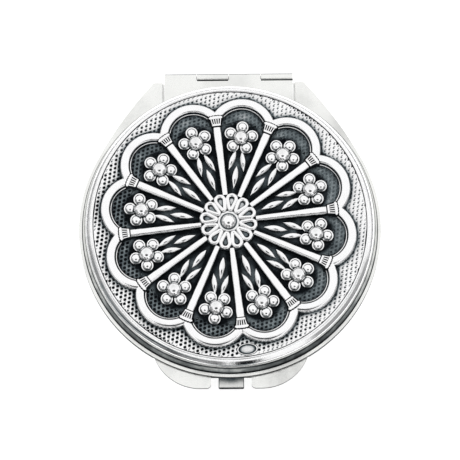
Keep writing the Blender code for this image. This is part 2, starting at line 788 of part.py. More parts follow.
def make_plaque(parts, cutters):
    dish_profile = [
        (0.0, FIELD_TOP),
        (31.2 * MM, FIELD_TOP),
        (31.6 * MM, 11.15 * MM),
        (32.3 * MM, 10.7 * MM),
        (32.8 * MM, 9.95 * MM),
        (32.95 * MM, 9.6 * MM),
        (32.4 * MM, 9.6 * MM),
        (32.25 * MM, 9.9 * MM),
        (31.8 * MM, 10.4 * MM),
        (31.2 * MM, 10.7 * MM),
        (0.0, 10.7 * MM),
    ]
    plaque = turned("embossed_plaque", dish_profile, POLISHED_SILVER, parts)

    half = math.pi / LOBES
    lobe_angles = [ROSETTE_TURN + half + 2 * half * index for index in range(LOBES)]
    outlines = [scalloped_outline(), pocket_outline()]
    for angle in lobe_angles:
        outlines.append(
            leaf_outline(INNER_LEAF_RADIUS, angle, INNER_LEAF_LENGTH, INNER_LEAF_WIDTH, 0.0)
        )
        for side in (-1, 1):
            outlines.append(
                leaf_outline(
                    OUTER_LEAF_RADIUS,
                    angle + side * OUTER_LEAF_SPREAD,
                    OUTER_LEAF_LENGTH,
                    OUTER_LEAF_WIDTH,
                    -side * OUTER_LEAF_TILT,
                )
            )
    foot = FIELD_TOP - RELIEF_ROOT
    relief = flat("rosette", outlines, foot, RELIEF_TOP, POLISHED_SILVER, cutters)
    daisy_outline = daisy_points(lobe_angles[0])
    daisy = flat("daisy", [daisy_outline], foot, DAISY_TOP, POLISHED_SILVER, cutters)

    middles = [polar(FLOWER_RADIUS, angle) for angle in lobe_angles]
    petals = []
    for angle, middle in zip(lobe_angles, middles):
        for petal in range(FLOWER_PETALS):
            offset = polar(FLOWER_PETAL_OFFSET, angle + 2 * math.pi * petal / FLOWER_PETALS)
            petals.append((middle[0] + offset[0], middle[1] + offset[1]))
    petal_balls = frusta(
        "petal_balls",
        petals,
        foot,
        FLOWER_PETAL_TOP,
        FLOWER_PETAL_RADIUS,
        FLOWER_PETAL_TOP_RADIUS,
        6,
        cutters,
    )
    flower_middles = frusta(
        "flower_middles",
        middles,
        foot,
        FLOWER_CENTRE_TOP,
        FLOWER_CENTRE_RADIUS,
        FLOWER_CENTRE_TOP_RADIUS,
        8,
        cutters,
    )
    boss_foot = DAISY_TOP - RELIEF_ROOT
    boss = frusta("boss", [(0.0, 0.0)], boss_foot, BOSS_TOP, BOSS_RADIUS, BOSS_TOP_RADIUS, 16, cutters)
    raised = (relief, petal_balls, flower_middles, daisy, boss)
    for shape in raised:
        shape.location += ROSETTE_SHIFT
    join(plaque, *raised)

    filler_profile = [
        (0.0, 10.6 * MM),
        (31.1 * MM, 10.6 * MM),
        (31.65 * MM, 10.32 * MM),
        (32.05 * MM, 9.88 * MM),
        (32.2 * MM, 9.6 * MM),
        (0.0, 9.6 * MM),
    ]
    turned("plaque_filler", filler_profile, RESIN_FILLER, parts, steps=HIDDEN_STEPS)


def main():
    clear_scene()
    parts = new_collection("folding_pocket_mirror")
    cutters = new_collection("cutters_and_guides")
    make_base_case(parts, cutters)
    make_base_mirror(parts)
    make_lid_case(parts, cutters)
    make_lid_mirror(parts)
    make_hinge(parts, cutters)
    make_latch(parts, cutters)
    make_plaque(parts, cutters)


main()
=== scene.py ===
"""Looks of a round folding pocket mirror with an embossed silver plaque on its lid.

Everything is in metres in the frame of the CAD model: the closed mirror lies on its flat
bottom, +Y runs to the hinge, and the lid half is above the parting plane. A darkness value
runs from 0, bright, to 1, black: oxide patina in the hollows, with painted shade and painted
dark reflections added in places. It is stored on the meshes for the silver's material to read.
"""

import json
import math

import bmesh
import bpy
from mathutils import Matrix, Vector


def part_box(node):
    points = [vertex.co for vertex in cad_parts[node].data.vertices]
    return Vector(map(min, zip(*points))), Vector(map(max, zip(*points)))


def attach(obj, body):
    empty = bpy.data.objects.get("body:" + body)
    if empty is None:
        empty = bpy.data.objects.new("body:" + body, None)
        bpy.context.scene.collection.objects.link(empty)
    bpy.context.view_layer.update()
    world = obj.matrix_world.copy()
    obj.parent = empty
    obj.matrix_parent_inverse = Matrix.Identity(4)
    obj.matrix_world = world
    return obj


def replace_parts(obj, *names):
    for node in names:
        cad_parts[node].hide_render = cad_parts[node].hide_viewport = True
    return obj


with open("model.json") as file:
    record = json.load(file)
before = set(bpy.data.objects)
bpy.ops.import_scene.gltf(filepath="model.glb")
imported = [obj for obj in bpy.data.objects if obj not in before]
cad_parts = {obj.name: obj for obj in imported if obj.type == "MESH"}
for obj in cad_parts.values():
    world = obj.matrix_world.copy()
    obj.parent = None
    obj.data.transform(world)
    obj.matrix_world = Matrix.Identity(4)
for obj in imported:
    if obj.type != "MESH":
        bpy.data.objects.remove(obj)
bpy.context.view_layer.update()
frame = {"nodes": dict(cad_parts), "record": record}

MM = 0.001
STEPS = 288  # sides of the large rounds
SMOOTH_BELOW = math.radians(38)  # edges flatter than this are shaded smooth

# Levels, taken from the CAD nodes
BASE_PLATE_BOTTOM, BASE_PLATE_TOP = (corner.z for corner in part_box("base_plate"))
LID_PLATE_BOTTOM, LID_PLATE_TOP = (corner.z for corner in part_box("lid_plate"))
BASE_WALL_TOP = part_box("base_shell")[1].z
DECK_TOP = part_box("lid_cup")[1].z
CUP_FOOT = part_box("lid_cup")[0].z
PLAQUE_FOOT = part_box("embossed_plaque")[0].z
PARTING = (BASE_PLATE_TOP + LID_PLATE_BOTTOM) / 2

# Case
CASE_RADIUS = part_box("lid_plate")[1].x
CUP_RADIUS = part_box("lid_cup")[1].x
FOOT_FRONT = -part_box("base_plate")[0].y
PLATE_HOLE = 28.6 * MM
SHOULDER_BACK = 35.15 * MM
SHOULDER_TANGENT = math.radians(28)  # where a plate's shoulder leaves the case circle
LEAF_RIVETS = (3.6 * MM, 30.4 * MM)  # the one at +X of each pair
GUIDE_RIVETS = (5.4 * MM, -30.4 * MM)
CATCH_RIVETS = (3.6 * MM, -30.2 * MM)
RIVET_HOLE = 0.72 * MM

# Rosette
GROUND = 11.1 * MM  # level of the sheet inside the rosette
STIPPLE_TOP = 11.25 * MM
ROOT = 11.0 * MM  # level that the raised shapes start from
FAN_FOOT, FAN_TOP = 12.3 * MM, 12.66 * MM
LOBES = 12
HALF = math.pi / LOBES
TURN = math.radians(6.5)
SHIFT = Vector((-0.3, 0.2)) * MM  # the embossing sits a little off the middle of the lid
LOBE_CENTRE = 21.6 * MM
LOBE_OUTER = 8.0 * MM
LOBE_INNER = 5.5 * MM
FLOWER_RADIUS = 20.1 * MM
FLOWER_REACH = 4.05 * MM
LOBE_ANGLES = [TURN + HALF + 2 * HALF * index for index in range(LOBES)]
SPOKE_ANGLES = [TURN + 2 * HALF * index for index in range(LOBES)]
SPOKE_START, SPOKE_END = 6.3 * MM, 23.2 * MM
SPOKE_INNER_HALF, SPOKE_OUTER_HALF = 0.56 * MM, 0.84 * MM
STIPPLE_INNER, STIPPLE_OUTER = 23.3 * MM, 31.14 * MM
BEAD_RADIUS = 31.56 * MM
BEAD_SIZE = 0.32 * MM

# Hinge
HINGE_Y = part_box("hinge_pin")[0].y / 2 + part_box("hinge_pin")[1].y / 2
LEAF_HALF = 14.9 * MM
LEAF_THICKNESS = 0.9 * MM
LEAF_GAP = 0.1 * MM
KNUCKLES = 4


# Mesh helpers


class Patch:
    """Points, faces and darkness values (patina and painted shade) of one piece, collected part by part.
    """

    def __init__(self):
        self.points = []
        self.faces = []
        self.patina_and_shade = []

    def add(self, points, faces):
        """Points are (x, y, z, darkness), the darkness being patina and painted shade; faces count from
        the first of these points.
        """
        start = len(self.points)
        for x, y, z, dark in points:
            self.points.append((x, y, z))
            self.patina_and_shade.append(dark)
        self.faces += [[start + index for index in face] for face in faces]

    def shift(self, offset):
        """Moved sideways; returns the patch."""
        self.points = [(x + offset.x, y + offset.y, z) for x, y, z in self.points]
        return self

    def piece(self, name, material, body, slot, sharp=SMOOTH_BELOW):
        """The finished object, riding on its body."""
        mesh = bpy.data.meshes.new(name)
        mesh.from_pydata(self.points, [], self.faces)
        layer = mesh.attributes.new("patina_and_shade", "FLOAT", "POINT")
        layer.data.foreach_set("value", self.patina_and_shade)
        return finish_mesh(name, mesh, material, body, sharp)


def finish_mesh(name, mesh, material, body, sharp=SMOOTH_BELOW):
    """Welds, orients and shades a mesh, and puts its object on a body."""
    shape = bmesh.new()
    shape.from_mesh(mesh)
    bmesh.ops.remove_doubles(shape, verts=shape.verts, dist=0.000002)
    bmesh.ops.dissolve_degenerate(shape, edges=shape.edges, dist=0.0000005)
    bmesh.ops.recalc_face_normals(shape, faces=shape.faces)
    shape.to_mesh(mesh)
    shape.free()
    mesh.shade_smooth()
    mesh.set_sharp_from_angle(angle=sharp)
    mesh.materials.clear()
    mesh.materials.append(material)
    made = bpy.data.objects.new(name, mesh)
    bpy.context.scene.collection.objects.link(made)
    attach(made, body)
    return made


def bridge(first, second):
    """Faces between two rings of indices, either of which may be a single point."""
    count = max(len(first), len(second))
    faces = []
    for index in range(count):
        after = (index + 1) % count
        if len(first) == 1:
            faces.append([first[0], second[after], second[index]])
        elif len(second) == 1:
            faces.append([first[index], first[after], second[0]])
        else:
            faces.append([first[index], first[after], second[after], second[index]])
    return faces


def turn(patch, profile, steps, centre=(0.0, 0.0)):
    """A profile of (radius, height, darkness of patina and painted shade) turned about a vertical
    axis. A profile that doesn't end on the axis is closed into a ring."""
    points, rings = [], []
    for radius, height, dark in profile:
        count = steps if radius > 0.0 else 1
        rings.append(list(range(len(points), len(points) + count)))
        for step in range(count):
            angle = 2 * math.pi * step / steps
            x = centre[0] + radius * math.cos(angle)
            y = centre[1] + radius * math.sin(angle)
            points.append((x, y, height, dark))
    faces = []
    for first, second in zip(rings, rings[1:]):
        faces += bridge(first, second)
    if len(rings[0]) > 1:
        faces += bridge(rings[-1], rings[0])
    patch.add(points, faces)


def sweep(patch, sections, closed=False):
    """Closed sections of equal length joined one to the next, and capped unless closed."""
    count = len(sections[0])
    points = [point for section in sections for point in section]
    rings = [list(range(k * count, (k + 1) * count)) for k in range(len(sections))]
    faces = []
    for first, second in zip(rings, rings[1:]):
        faces += bridge(first, second)
    if closed:
        faces += bridge(rings[-1], rings[0])
    else:
        faces += [rings[0][::-1], rings[-1]]
    patch.add(points, faces)


def clamped(value, low=0.0, high=1.0):
    """A value held between two limits."""
    return min(high, max(low, value))


def polar(radius, angle):
    """Point (x, y) at a radius and an angle."""
    return radius * math.cos(angle), radius * math.sin(angle)


def turned(x, y, angle):
    """A point turned about the origin."""
    cosine, sine = math.cos(angle), math.sin(angle)
    return x * cosine - y * sine, x * sine + y * cosine


def sideways_of(out):
    """The direction to the left of another."""
    return Vector((-out.y, out.x))


def arc(centre, radius, start, stop, steps):
    """Points along an arc, both ends included."""
    angles = [start + (stop - start) * step / steps for step in range(steps + 1)]
    return [(centre[0] + radius * math.cos(a), centre[1] + radius * math.sin(a)) for a in angles]


def flat_mesh(name, outlines, bottom, top):
    """Closed outlines filled as one flat shape with a thickness, inner ones as holes."""
    curve = bpy.data.curves.new(name, "CURVE")
    curve.dimensions = "2D"
    curve.fill_mode = "BOTH"
    curve.extrude = (top - bottom) / 2
    for outline in outlines:
        spline = curve.splines.new("POLY")
        spline.points.add(len(outline) - 1)
        for point, (x, y) in zip(spline.points, outline):
            point.co = (x, y, 0.0, 1.0)
        spline.use_cyclic_u = True
    drawn = bpy.data.objects.new(name + "_outline", curve)
    bpy.context.scene.collection.objects.link(drawn)
    graph = bpy.context.evaluated_depsgraph_get()
    mesh = bpy.data.meshes.new_from_object(drawn.evaluated_get(graph))
    mesh.transform(Matrix.Translation((0.0, 0.0, (top + bottom) / 2)))
    bpy.data.objects.remove(drawn, do_unlink=True)
    bpy.data.curves.remove(curve)
    return mesh


def bevel(made, width, segments=3, angle=35):
    """Rounds the edges sharper than an angle in degrees."""
    modifier = made.modifiers.new("rounded_edges", "BEVEL")
    modifier.width = width
    modifier.segments = segments
    modifier.limit_method = "ANGLE"
    modifier.angle_limit = math.radians(angle)
    modifier.harden_normals = True
    return made


def applied(made, other_meshes, operation):
    """Joins or cuts a piece for good with closed meshes, one after another."""
    for mesh in other_meshes:
        tool = bpy.data.objects.new("tool", mesh)
        bpy.context.scene.collection.objects.link(tool)
        modifier = made.modifiers.new("shape", "BOOLEAN")
        modifier.operation = operation
        modifier.solver = "EXACT"
        modifier.object = tool
        graph = bpy.context.evaluated_depsgraph_get()
        shaped = bpy.data.meshes.new_from_object(made.evaluated_get(graph))
        made.modifiers.clear()
        made.data = shaped
        bpy.data.objects.remove(tool, do_unlink=True)
    made.data.set_sharp_from_angle(angle=SMOOTH_BELOW)
    return made


def box_mesh(low, high):
    """Box between two corners."""
    shape = bmesh.new()
    size = [high[i] - low[i] for i in range(3)]
    middle = [(high[i] + low[i]) / 2 for i in range(3)]
    fitted = Matrix.Translation(middle) @ Matrix.Diagonal((*size, 1.0))
    bmesh.ops.create_cube(shape, size=1.0, matrix=fitted)
    mesh = bpy.data.meshes.new("box")
    shape.to_mesh(mesh)
    shape.free()
    return mesh


def closed_mesh(name, patch):
    """Bare mesh of a closed patch, with its faces turned outwards."""
    mesh = bpy.data.meshes.new(name)
    mesh.from_pydata(patch.points, [], patch.faces)
    shape = bmesh.new()
    shape.from_mesh(mesh)
    bmesh.ops.recalc_face_normals(shape, faces=shape.faces)
    shape.to_mesh(mesh)
    shape.free()
    return mesh


def knuckle_mesh(left, right, half, corner, steps=8):
    """Squared knuckle with rounded edges, along the hinge axis."""
    outline = []
    for quarter_turn, (sy, sz) in enumerate(((1, 1), (-1, 1), (-1, -1), (1, -1))):
        centre = (HINGE_Y + sy * (half - corner), PARTING + sz * (half - corner))
        start = quarter_turn * math.pi / 2
        outline += arc(centre, corner, start, start + math.pi / 2, steps)
    patch = Patch()
    sweep(patch, [[(x, y, z, 0.0) for y, z in outline] for x in (left, right)])
    return closed_mesh("knuckle", patch)


def rod_mesh(left, right, radius, sides=40, chamfer=0.08 * MM):
    """Rod along the hinge axis with eased ends."""
    patch = Patch()
    profile = [(0.0, left), (radius - chamfer, left), (radius, left + chamfer)]
    profile += [(radius, right - chamfer), (radius - chamfer, right), (0.0, right)]
    turn(patch, [(r, x, 0.0) for r, x in profile], sides)
    patch.points = [(z, HINGE_Y - y, PARTING + x) for x, y, z in patch.points]
    return closed_mesh("rod", patch)


def millimetres(profile):
    """A profile of (radius, height, darkness of patina and painted shade) listed in millimetres, in
    metres.
    """
    return [(radius * MM, height * MM, dark) for radius, height, dark in profile]


def turned_node(name, node_name, profile, material, body, slot):
    """A round CAD node drawn again with a finer profile of (radius, height, darkness of patina and painted
    shade) in mm.
    """
    patch = Patch()
    turn(patch, millimetres(profile), STEPS)
    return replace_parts(patch.piece(name, material, body, slot), node_name)


# Materials


def node(tree, kind, **settings):
    """New shader node with its settings."""
    made = tree.nodes.new(kind)
    for key, value in settings.items():
        setattr(made, key, value)
    return made


def math_node(tree, operation, first, second=0.0, clamp=False):
    """Arithmetic on one or two values, each a number or another node's output."""
    made = node(tree, "ShaderNodeMath", operation=operation, use_clamp=clamp)
    for socket, value in zip(made.inputs, (first, second)):
        if isinstance(value, (int, float)):
            socket.default_value = value
        else:
            tree.links.new(value, socket)
    return made.outputs[0]


def noise_node(tree, coordinate, scale, detail=3.0, stretch=(1.0, 1.0, 1.0)):
    """Noise on coordinates stretched by a factor along each axis."""
    mapping = node(tree, "ShaderNodeMapping")
    mapping.inputs["Scale"].default_value = stretch
    tree.links.new(coordinate, mapping.inputs["Vector"])
    made = node(tree, "ShaderNodeTexNoise")
    made.inputs["Scale"].default_value = scale
    made.inputs["Detail"].default_value = detail
    tree.links.new(mapping.outputs["Vector"], made.inputs["Vector"])
    return made.outputs["Fac"]


def range_node(tree, value, low, high, out_low, out_high):
    """Value eased from one range into another."""
    made = node(tree, "ShaderNodeMapRange", interpolation_type="SMOOTHSTEP")
    tree.links.new(value, made.inputs["Value"])
    for name, number in (("From Min", low), ("From Max", high), ("To Min", out_low), ("To Max", out_high)):
        made.inputs[name].default_value = number
    return made.outputs["Result"]


def ramp_node(tree, value, stops):
    """Colour looked up in stops of (position, colour)."""
    made = node(tree, "ShaderNodeValToRGB")
    elements = made.color_ramp.elements
    while len(elements) < len(stops):
        elements.new(0.5)
    for element, (position, colour) in zip(elements, stops):
        element.position = position
        element.color = (*colour, 1.0)
    tree.links.new(value, made.inputs["Fac"])
    return made.outputs["Color"]


def bump_node(tree, height, distance, strength=1.0, normal=None):
    """Normal tilted by a height, on top of another normal if one is given."""
    made = node(tree, "ShaderNodeBump")
    made.inputs["Strength"].default_value = strength
    made.inputs["Distance"].default_value = distance
    tree.links.new(height, made.inputs["Height"])
    if normal is not None:
        tree.links.new(normal, made.inputs["Normal"])
    return made.outputs["Normal"]


def new_material(name):
    """New material, its tree, its shader and the object's coordinates."""
    made = bpy.data.materials.new(name)
    made.use_nodes = True
    tree = made.node_tree
    shader = tree.nodes["Principled BSDF"]
    coordinate = node(tree, "ShaderNodeTexCoord").outputs["Object"]
    return made, tree, shader, coordinate


def shade_patch(tree, coordinate, spot):
    """Round patch of painted shade on a flat part, listed in mm."""
    x, y, inner, outer, amount = spot
    away = node(tree, "ShaderNodeVectorMath", operation="DISTANCE")
    flat = node(tree, "ShaderNodeVectorMath", operation="MULTIPLY")
    flat.inputs[1].default_value = (1.0, 1.0, 0.0)
    tree.links.new(coordinate, flat.inputs[0])
    tree.links.new(flat.outputs["Vector"], away.inputs[0])
    away.inputs[1].default_value = (x * MM, y * MM, 0.0)
    return range_node(tree, away.outputs["Value"], inner * MM, outer * MM, amount, 0.0)


def edge_shade(tree):
    """Painted shade on what isn't level: the rounded edges of the plates."""
    direction = node(tree, "ShaderNodeSeparateXYZ")
    tree.links.new(node(tree, "ShaderNodeTexCoord").outputs["Normal"], direction.inputs[0])
    upright = math_node(tree, "ABSOLUTE", direction.outputs["Z"])
    return range_node(tree, upright, 0.62, 0.97, 0.95, 0.0)


def silver(name, bright, stain, polish, grain, spots=()):
    """Silver that is darkened where its value of patina and painted shade says, with fine grain
    lines. Stain is the two colours on the way from bright to black, for patina and painted shade
    alike, and grain is the stretch of the polishing lines along each axis."""
    made, tree, shader, coordinate = new_material(name)
    shader.inputs["Metallic"].default_value = 1.0
    patina_and_shade = node(tree, "ShaderNodeAttribute", attribute_name="patina_and_shade").outputs["Fac"]
    # Painted shade: round patches, and the rounded edges of the plates
    for spot in spots:
        patina_and_shade = math_node(tree, "ADD", patina_and_shade, shade_patch(tree, coordinate, spot))
    if spots:
        patina_and_shade = math_node(tree, "ADD", patina_and_shade, edge_shade(tree))
    blotches = noise_node(tree, coordinate, 420.0, 4.0)
    specks = noise_node(tree, coordinate, 5200.0, 2.0)
    uneven = math_node(tree, "MULTIPLY", math_node(tree, "SUBTRACT", blotches, 0.5), 0.5)
    fine = math_node(tree, "MULTIPLY", math_node(tree, "SUBTRACT", specks, 0.5), 0.35)
    strength = range_node(tree, patina_and_shade, 0.0, 0.5, 0.3, 1.0)
    spread = math_node(tree, "MULTIPLY", math_node(tree, "ADD", uneven, fine), strength)
    dark = math_node(tree, "ADD", patina_and_shade, spread, clamp=True)
    dulled = tuple(channel * 0.76 for channel in bright)
    stops = ((0.0, bright), (0.25, dulled), (0.55, stain[0]), (0.8, stain[1]), (1.0, OXIDE_AND_SHADE))
    tree.links.new(ramp_node(tree, dark, stops), shader.inputs["Base Color"])
    lines = noise_node(tree, coordinate, 1.0, 4.0, grain)
    smudge = noise_node(tree, coordinate, 130.0)
    worn = range_node(tree, smudge, 0.35, 0.7, polish * 0.75, polish * 1.35)
    brushed = math_node(tree, "MULTIPLY", lines, polish * 0.6)
    clean = math_node(tree, "ADD", worn, brushed)
    rough = range_node(tree, dark, 0.1, 0.8, 0.0, 0.5)
    tree.links.new(math_node(tree, "ADD", clean, rough, clamp=True), shader.inputs["Roughness"])
    waves = noise_node(tree, coordinate, 900.0, 2.0)
    normal = bump_node(tree, waves, 0.00004, 0.25)
    normal = bump_node(tree, lines, 0.00001, 0.6, normal)
    normal = bump_node(tree, specks, 0.00003, 0.3, normal)
    tree.links.new(normal, shader.inputs["Normal"])
    return made


def steel(name):
    """Dull rolled steel for the working parts."""
    made, tree, shader, coordinate = new_material(name)
    shader.inputs["Metallic"].default_value = 1.0
    lines = noise_node(tree, coordinate, 1.0, 4.0, (300.0, 5200.0, 300.0))
    stain = noise_node(tree, coordinate, 260.0, 4.0)
    stops = ((0.3, (0.26, 0.26, 0.27)), (0.6, (0.46, 0.46, 0.46)), (0.8, (0.36, 0.33, 0.3)))
    tree.links.new(ramp_node(tree, stain, stops), shader.inputs["Base Color"])
    tree.links.new(range_node(tree, lines, 0.3, 0.7, 0.28, 0.46), shader.inputs["Roughness"])
    tree.links.new(bump_node(tree, lines, 0.00001), shader.inputs["Normal"])
    return made


def mirror_glass(name):
    """Silvered glass with a breath of dust."""
    made, tree, shader, coordinate = new_material(name)
    shader.inputs["Metallic"].default_value = 1.0
    dust = noise_node(tree, coordinate, 900.0, 5.0)
    film = noise_node(tree, coordinate, 90.0)
    stops = ((0.35, (0.72, 0.77, 0.78)), (0.75, (0.64, 0.69, 0.7)))
    tree.links.new(ramp_node(tree, film, stops), shader.inputs["Base Color"])
    tree.links.new(range_node(tree, dust, 0.6, 0.8, 0.008, 0.05), shader.inputs["Roughness"])
    return made


def foam(name):
    """Black foam with open cells."""
    made, tree, shader, coordinate = new_material(name)
    cells = node(tree, "ShaderNodeTexVoronoi")
    cells.inputs["Scale"].default_value = 3200.0
    tree.links.new(coordinate, cells.inputs["Vector"])
    stops = ((0.0, (0.015, 0.015, 0.017)), (0.6, (0.07, 0.07, 0.075)))
    tree.links.new(ramp_node(tree, cells.outputs["Distance"], stops), shader.inputs["Base Color"])
    shader.inputs["Roughness"].default_value = 0.95
    tree.links.new(bump_node(tree, cells.outputs["Distance"], 0.0001), shader.inputs["Normal"])
    return made


def resin(name):
    """Cloudy brown cast resin."""
    made, tree, shader, coordinate = new_material(name)
    cloud = noise_node(tree, coordinate, 300.0, 5.0)
    stops = ((0.3, (0.2, 0.14, 0.09)), (0.7, (0.38, 0.3, 0.2)))
    tree.links.new(ramp_node(tree, cloud, stops), shader.inputs["Base Color"])
    tree.links.new(range_node(tree, cloud, 0.3, 0.7, 0.45, 0.75), shader.inputs["Roughness"])
    tree.links.new(bump_node(tree, cloud, 0.00008), shader.inputs["Normal"])
    return made


# Dark colours of the silver's ramp, used for oxide patina and for painted shade alike
OXIDE_AND_SHADE = (0.008, 0.01, 0.012)
WHITE_SILVER = (0.95, 0.95, 0.955)
WARM_SILVER = (0.9, 0.905, 0.885)
COOL_STAIN_AND_SHADE = ((0.2, 0.235, 0.25), (0.05, 0.062, 0.07))
GREY_STAIN_AND_SHADE = ((0.2, 0.215, 0.215), (0.05, 0.056, 0.06))
# Round patches of painted shade on the flat plates, near the cup and the hinge
SHADE_PATCHES = (  # x, y, inner and outer radius, amount
    (13.0, -34.0, 2.0, 8.0, 0.2),
    (27.5, 24.5, 2.0, 6.5, 0.2),
    (-24.0, 28.0, 3.0, 8.0, 0.1),
    (0.0, 33.0, 3.0, 9.0, 0.08),
    (16.5, 30.0, 1.0, 4.5, 0.12),
)
polished = silver("polished_silver_relief", WHITE_SILVER, COOL_STAIN_AND_SHADE, 0.1, (900.0, 1400.0, 900.0))
spun = silver("satin_silver_spun", WARM_SILVER, GREY_STAIN_AND_SHADE, 0.17, (90.0, 90.0, 7000.0))
planished = silver("satin_silver_flat", WARM_SILVER, COOL_STAIN_AND_SHADE, 0.2, (240.0, 5200.0, 240.0), SHADE_PATCHES)
steel_finish = steel("latch_steel_rolled")
glass_finish = mirror_glass("silvered_glass")
foam_finish = foam("backing_foam_cells")
resin_finish = resin("resin_filler_cast")


# Plaque


def embossed(patch, name, sharp=SMOOTH_BELOW):
    """A piece of the embossing, set off the lid's middle with the rest."""
    return patch.shift(SHIFT).piece(name, polished, "lid", "polished_silver", sharp)


def lobe_distance(x, y):
    """Distances from a point to the nearest two lobe centres, less the frame's outer radius."""
    angle = math.atan2(y, x)
    nearest = sorted(LOBE_ANGLES, key=lambda a: -math.cos(angle - a))[:2]
    return [math.dist((x, y), polar(LOBE_CENTRE, a)) - LOBE_OUTER for a in nearest]


def line_distance(x, y, angle):
    """Distance from a point to the axis of a spoke."""
    out = polar(1.0, angle)
    along = x * out[0] + y * out[1]
    if along < 0.0:
        return math.hypot(x, y)
    return abs(x * out[1] - y * out[0])


def ground_tarnish(x, y):
    """Tarnish of the ground: dark in the pockets and close along every wall."""
    x, y = x - SHIFT.x, y - SHIFT.y
    gaps = lobe_distance(x, y)
    distance = math.hypot(x, y)
    if min(gaps) >= 0.0 and distance >= LOBE_CENTRE:
        halo = sum(math.exp(-gap / (0.45 * MM)) for gap in gaps)
        return min(1.0, 0.85 * halo)
    wall = max(0.0, LOBE_INNER - LOBE_OUTER - min(gaps))
    if distance < LOBE_CENTRE:
        spoke = min(line_distance(x, y, angle) for angle in SPOKE_ANGLES)
        wall = max(0.0, spoke - (SPOKE_OUTER_HALF + 0.25 * MM))
    angle = math.atan2(y, x)
    lobe = max(LOBE_ANGLES, key=lambda a: math.cos(angle - a))
    flower = math.dist((x, y), polar(FLOWER_RADIUS, lobe)) - FLOWER_REACH
    head = clamped((distance - 21.5 * MM) / (2.0 * MM))
    dark = 0.78 - 0.25 * head
    dark += 0.6 * math.exp(-wall / (0.36 * MM)) + 0.5 * math.exp(-max(0.0, flower) / (0.3 * MM))
    return min(1.0, dark)


def facing(angle, degrees):
    """Falls from 1 in a direction to 0 at right angles to it."""
    return max(0.0, math.cos(angle - math.radians(degrees)))


def shoulder_dark_reflections(radius, angle):
    """Painted dark reflections that wander along the polished shoulder: long streaks at the
    front left, a short one at the front, and a faint darkening over the left side."""
    wander = (32.38 + 0.16 * math.sin(7 * angle)) * MM
    streak = math.exp(-(((radius - wander) / (0.15 * MM)) ** 2))
    second = math.exp(-(((radius - wander - 0.38 * MM) / (0.07 * MM)) ** 2))
    left = facing(angle, 236) ** 9 * (0.85 * streak + 0.6 * second)
    return left + 0.8 * facing(angle, 274) ** 60 * second + 0.3 * facing(angle, 190) ** 4


def make_dish():
    """The plaque's sheet: ground inside the rosette, bead, rounded shoulder and underside."""
    patch = Patch()
    profile = [(0.0, GROUND, 0.9)]
    rings = 34
    for ring in range(rings + 1):
        profile.append(((6.6 + (23.4 - 6.6) * ring / rings) * MM, GROUND, 0.9))
    profile += millimetres([(23.8, 10.98, 1.0), (31.12, 10.98, 1.0), (31.22, 11.0, 1.0)])
    for step in range(11):
        angle = math.pi * (1 - step / 10)
        height = 11.1 * MM + BEAD_SIZE * math.sin(angle)
        profile.append((BEAD_RADIUS + BEAD_SIZE * math.cos(angle), height, 0.5 if step == 0 else 0.0))
    shoulder = [
        (31.95, 11.06), (32.05, 11.02), (32.16, 10.96), (32.28, 10.87), (32.4, 10.77), (32.52, 10.67),
        (32.64, 10.56), (32.75, 10.45), (32.85, 10.34), (32.92, 10.22), (32.95, 10.05), (32.95, 9.6),
    ]  # fmt: skip
    profile += [(radius * MM, height * MM, 0.1 if height < 10.2 else 0.0) for radius, height in shoulder]
    profile += [(32.9 * MM, PLAQUE_FOOT, 0.8), (32.4 * MM, PLAQUE_FOOT, 0.6)]
    profile += millimetres([(31.8, 10.4, 0.6), (31.2, 10.7, 0.6), (0.0, 10.7, 0.6)])
    turn(patch, profile, STEPS)
    # The ground keeps its patina; the shoulder gets painted dark reflections
    for index, (x, y, z) in enumerate(patch.points):
        radius = math.hypot(x, y)
        if z == GROUND and radius > 6.7 * MM:
            patch.patina_and_shade[index] = ground_tarnish(x, y)
        elif z > 10.2 * MM and radius > 31.95 * MM:
            patch.patina_and_shade[index] += shoulder_dark_reflections(radius, math.atan2(y, x))
    return patch.piece("plaque_dish", polished, "lid", "polished_silver")


PIT_ALONG, PIT_ACROSS = Vector((1.036, 0.359)) * MM, Vector((0.117, 0.972)) * MM
PIT_SIGNS = [(-1, -1), (0, -1), (1, -1), (1, 0), (1, 1), (0, 1), (-1, 1), (-1, 0)]
PIT_BORDER = [PIT_ALONG * (i / 2) + PIT_ACROSS * (j / 2) for i, j in PIT_SIGNS]
PIT_SHALLOW_SIDE = Vector(polar(1.0, math.radians(35)))  # the side towards which the pits get smaller, shallower and paler


def clamp_point(point, limit):
    """The point pulled in to a radius if it is outside it."""
    x, y, z, dark = point
    distance = math.hypot(x, y)
    if distance <= limit:
        return point
    return x * limit / distance, y * limit / distance, z, dark


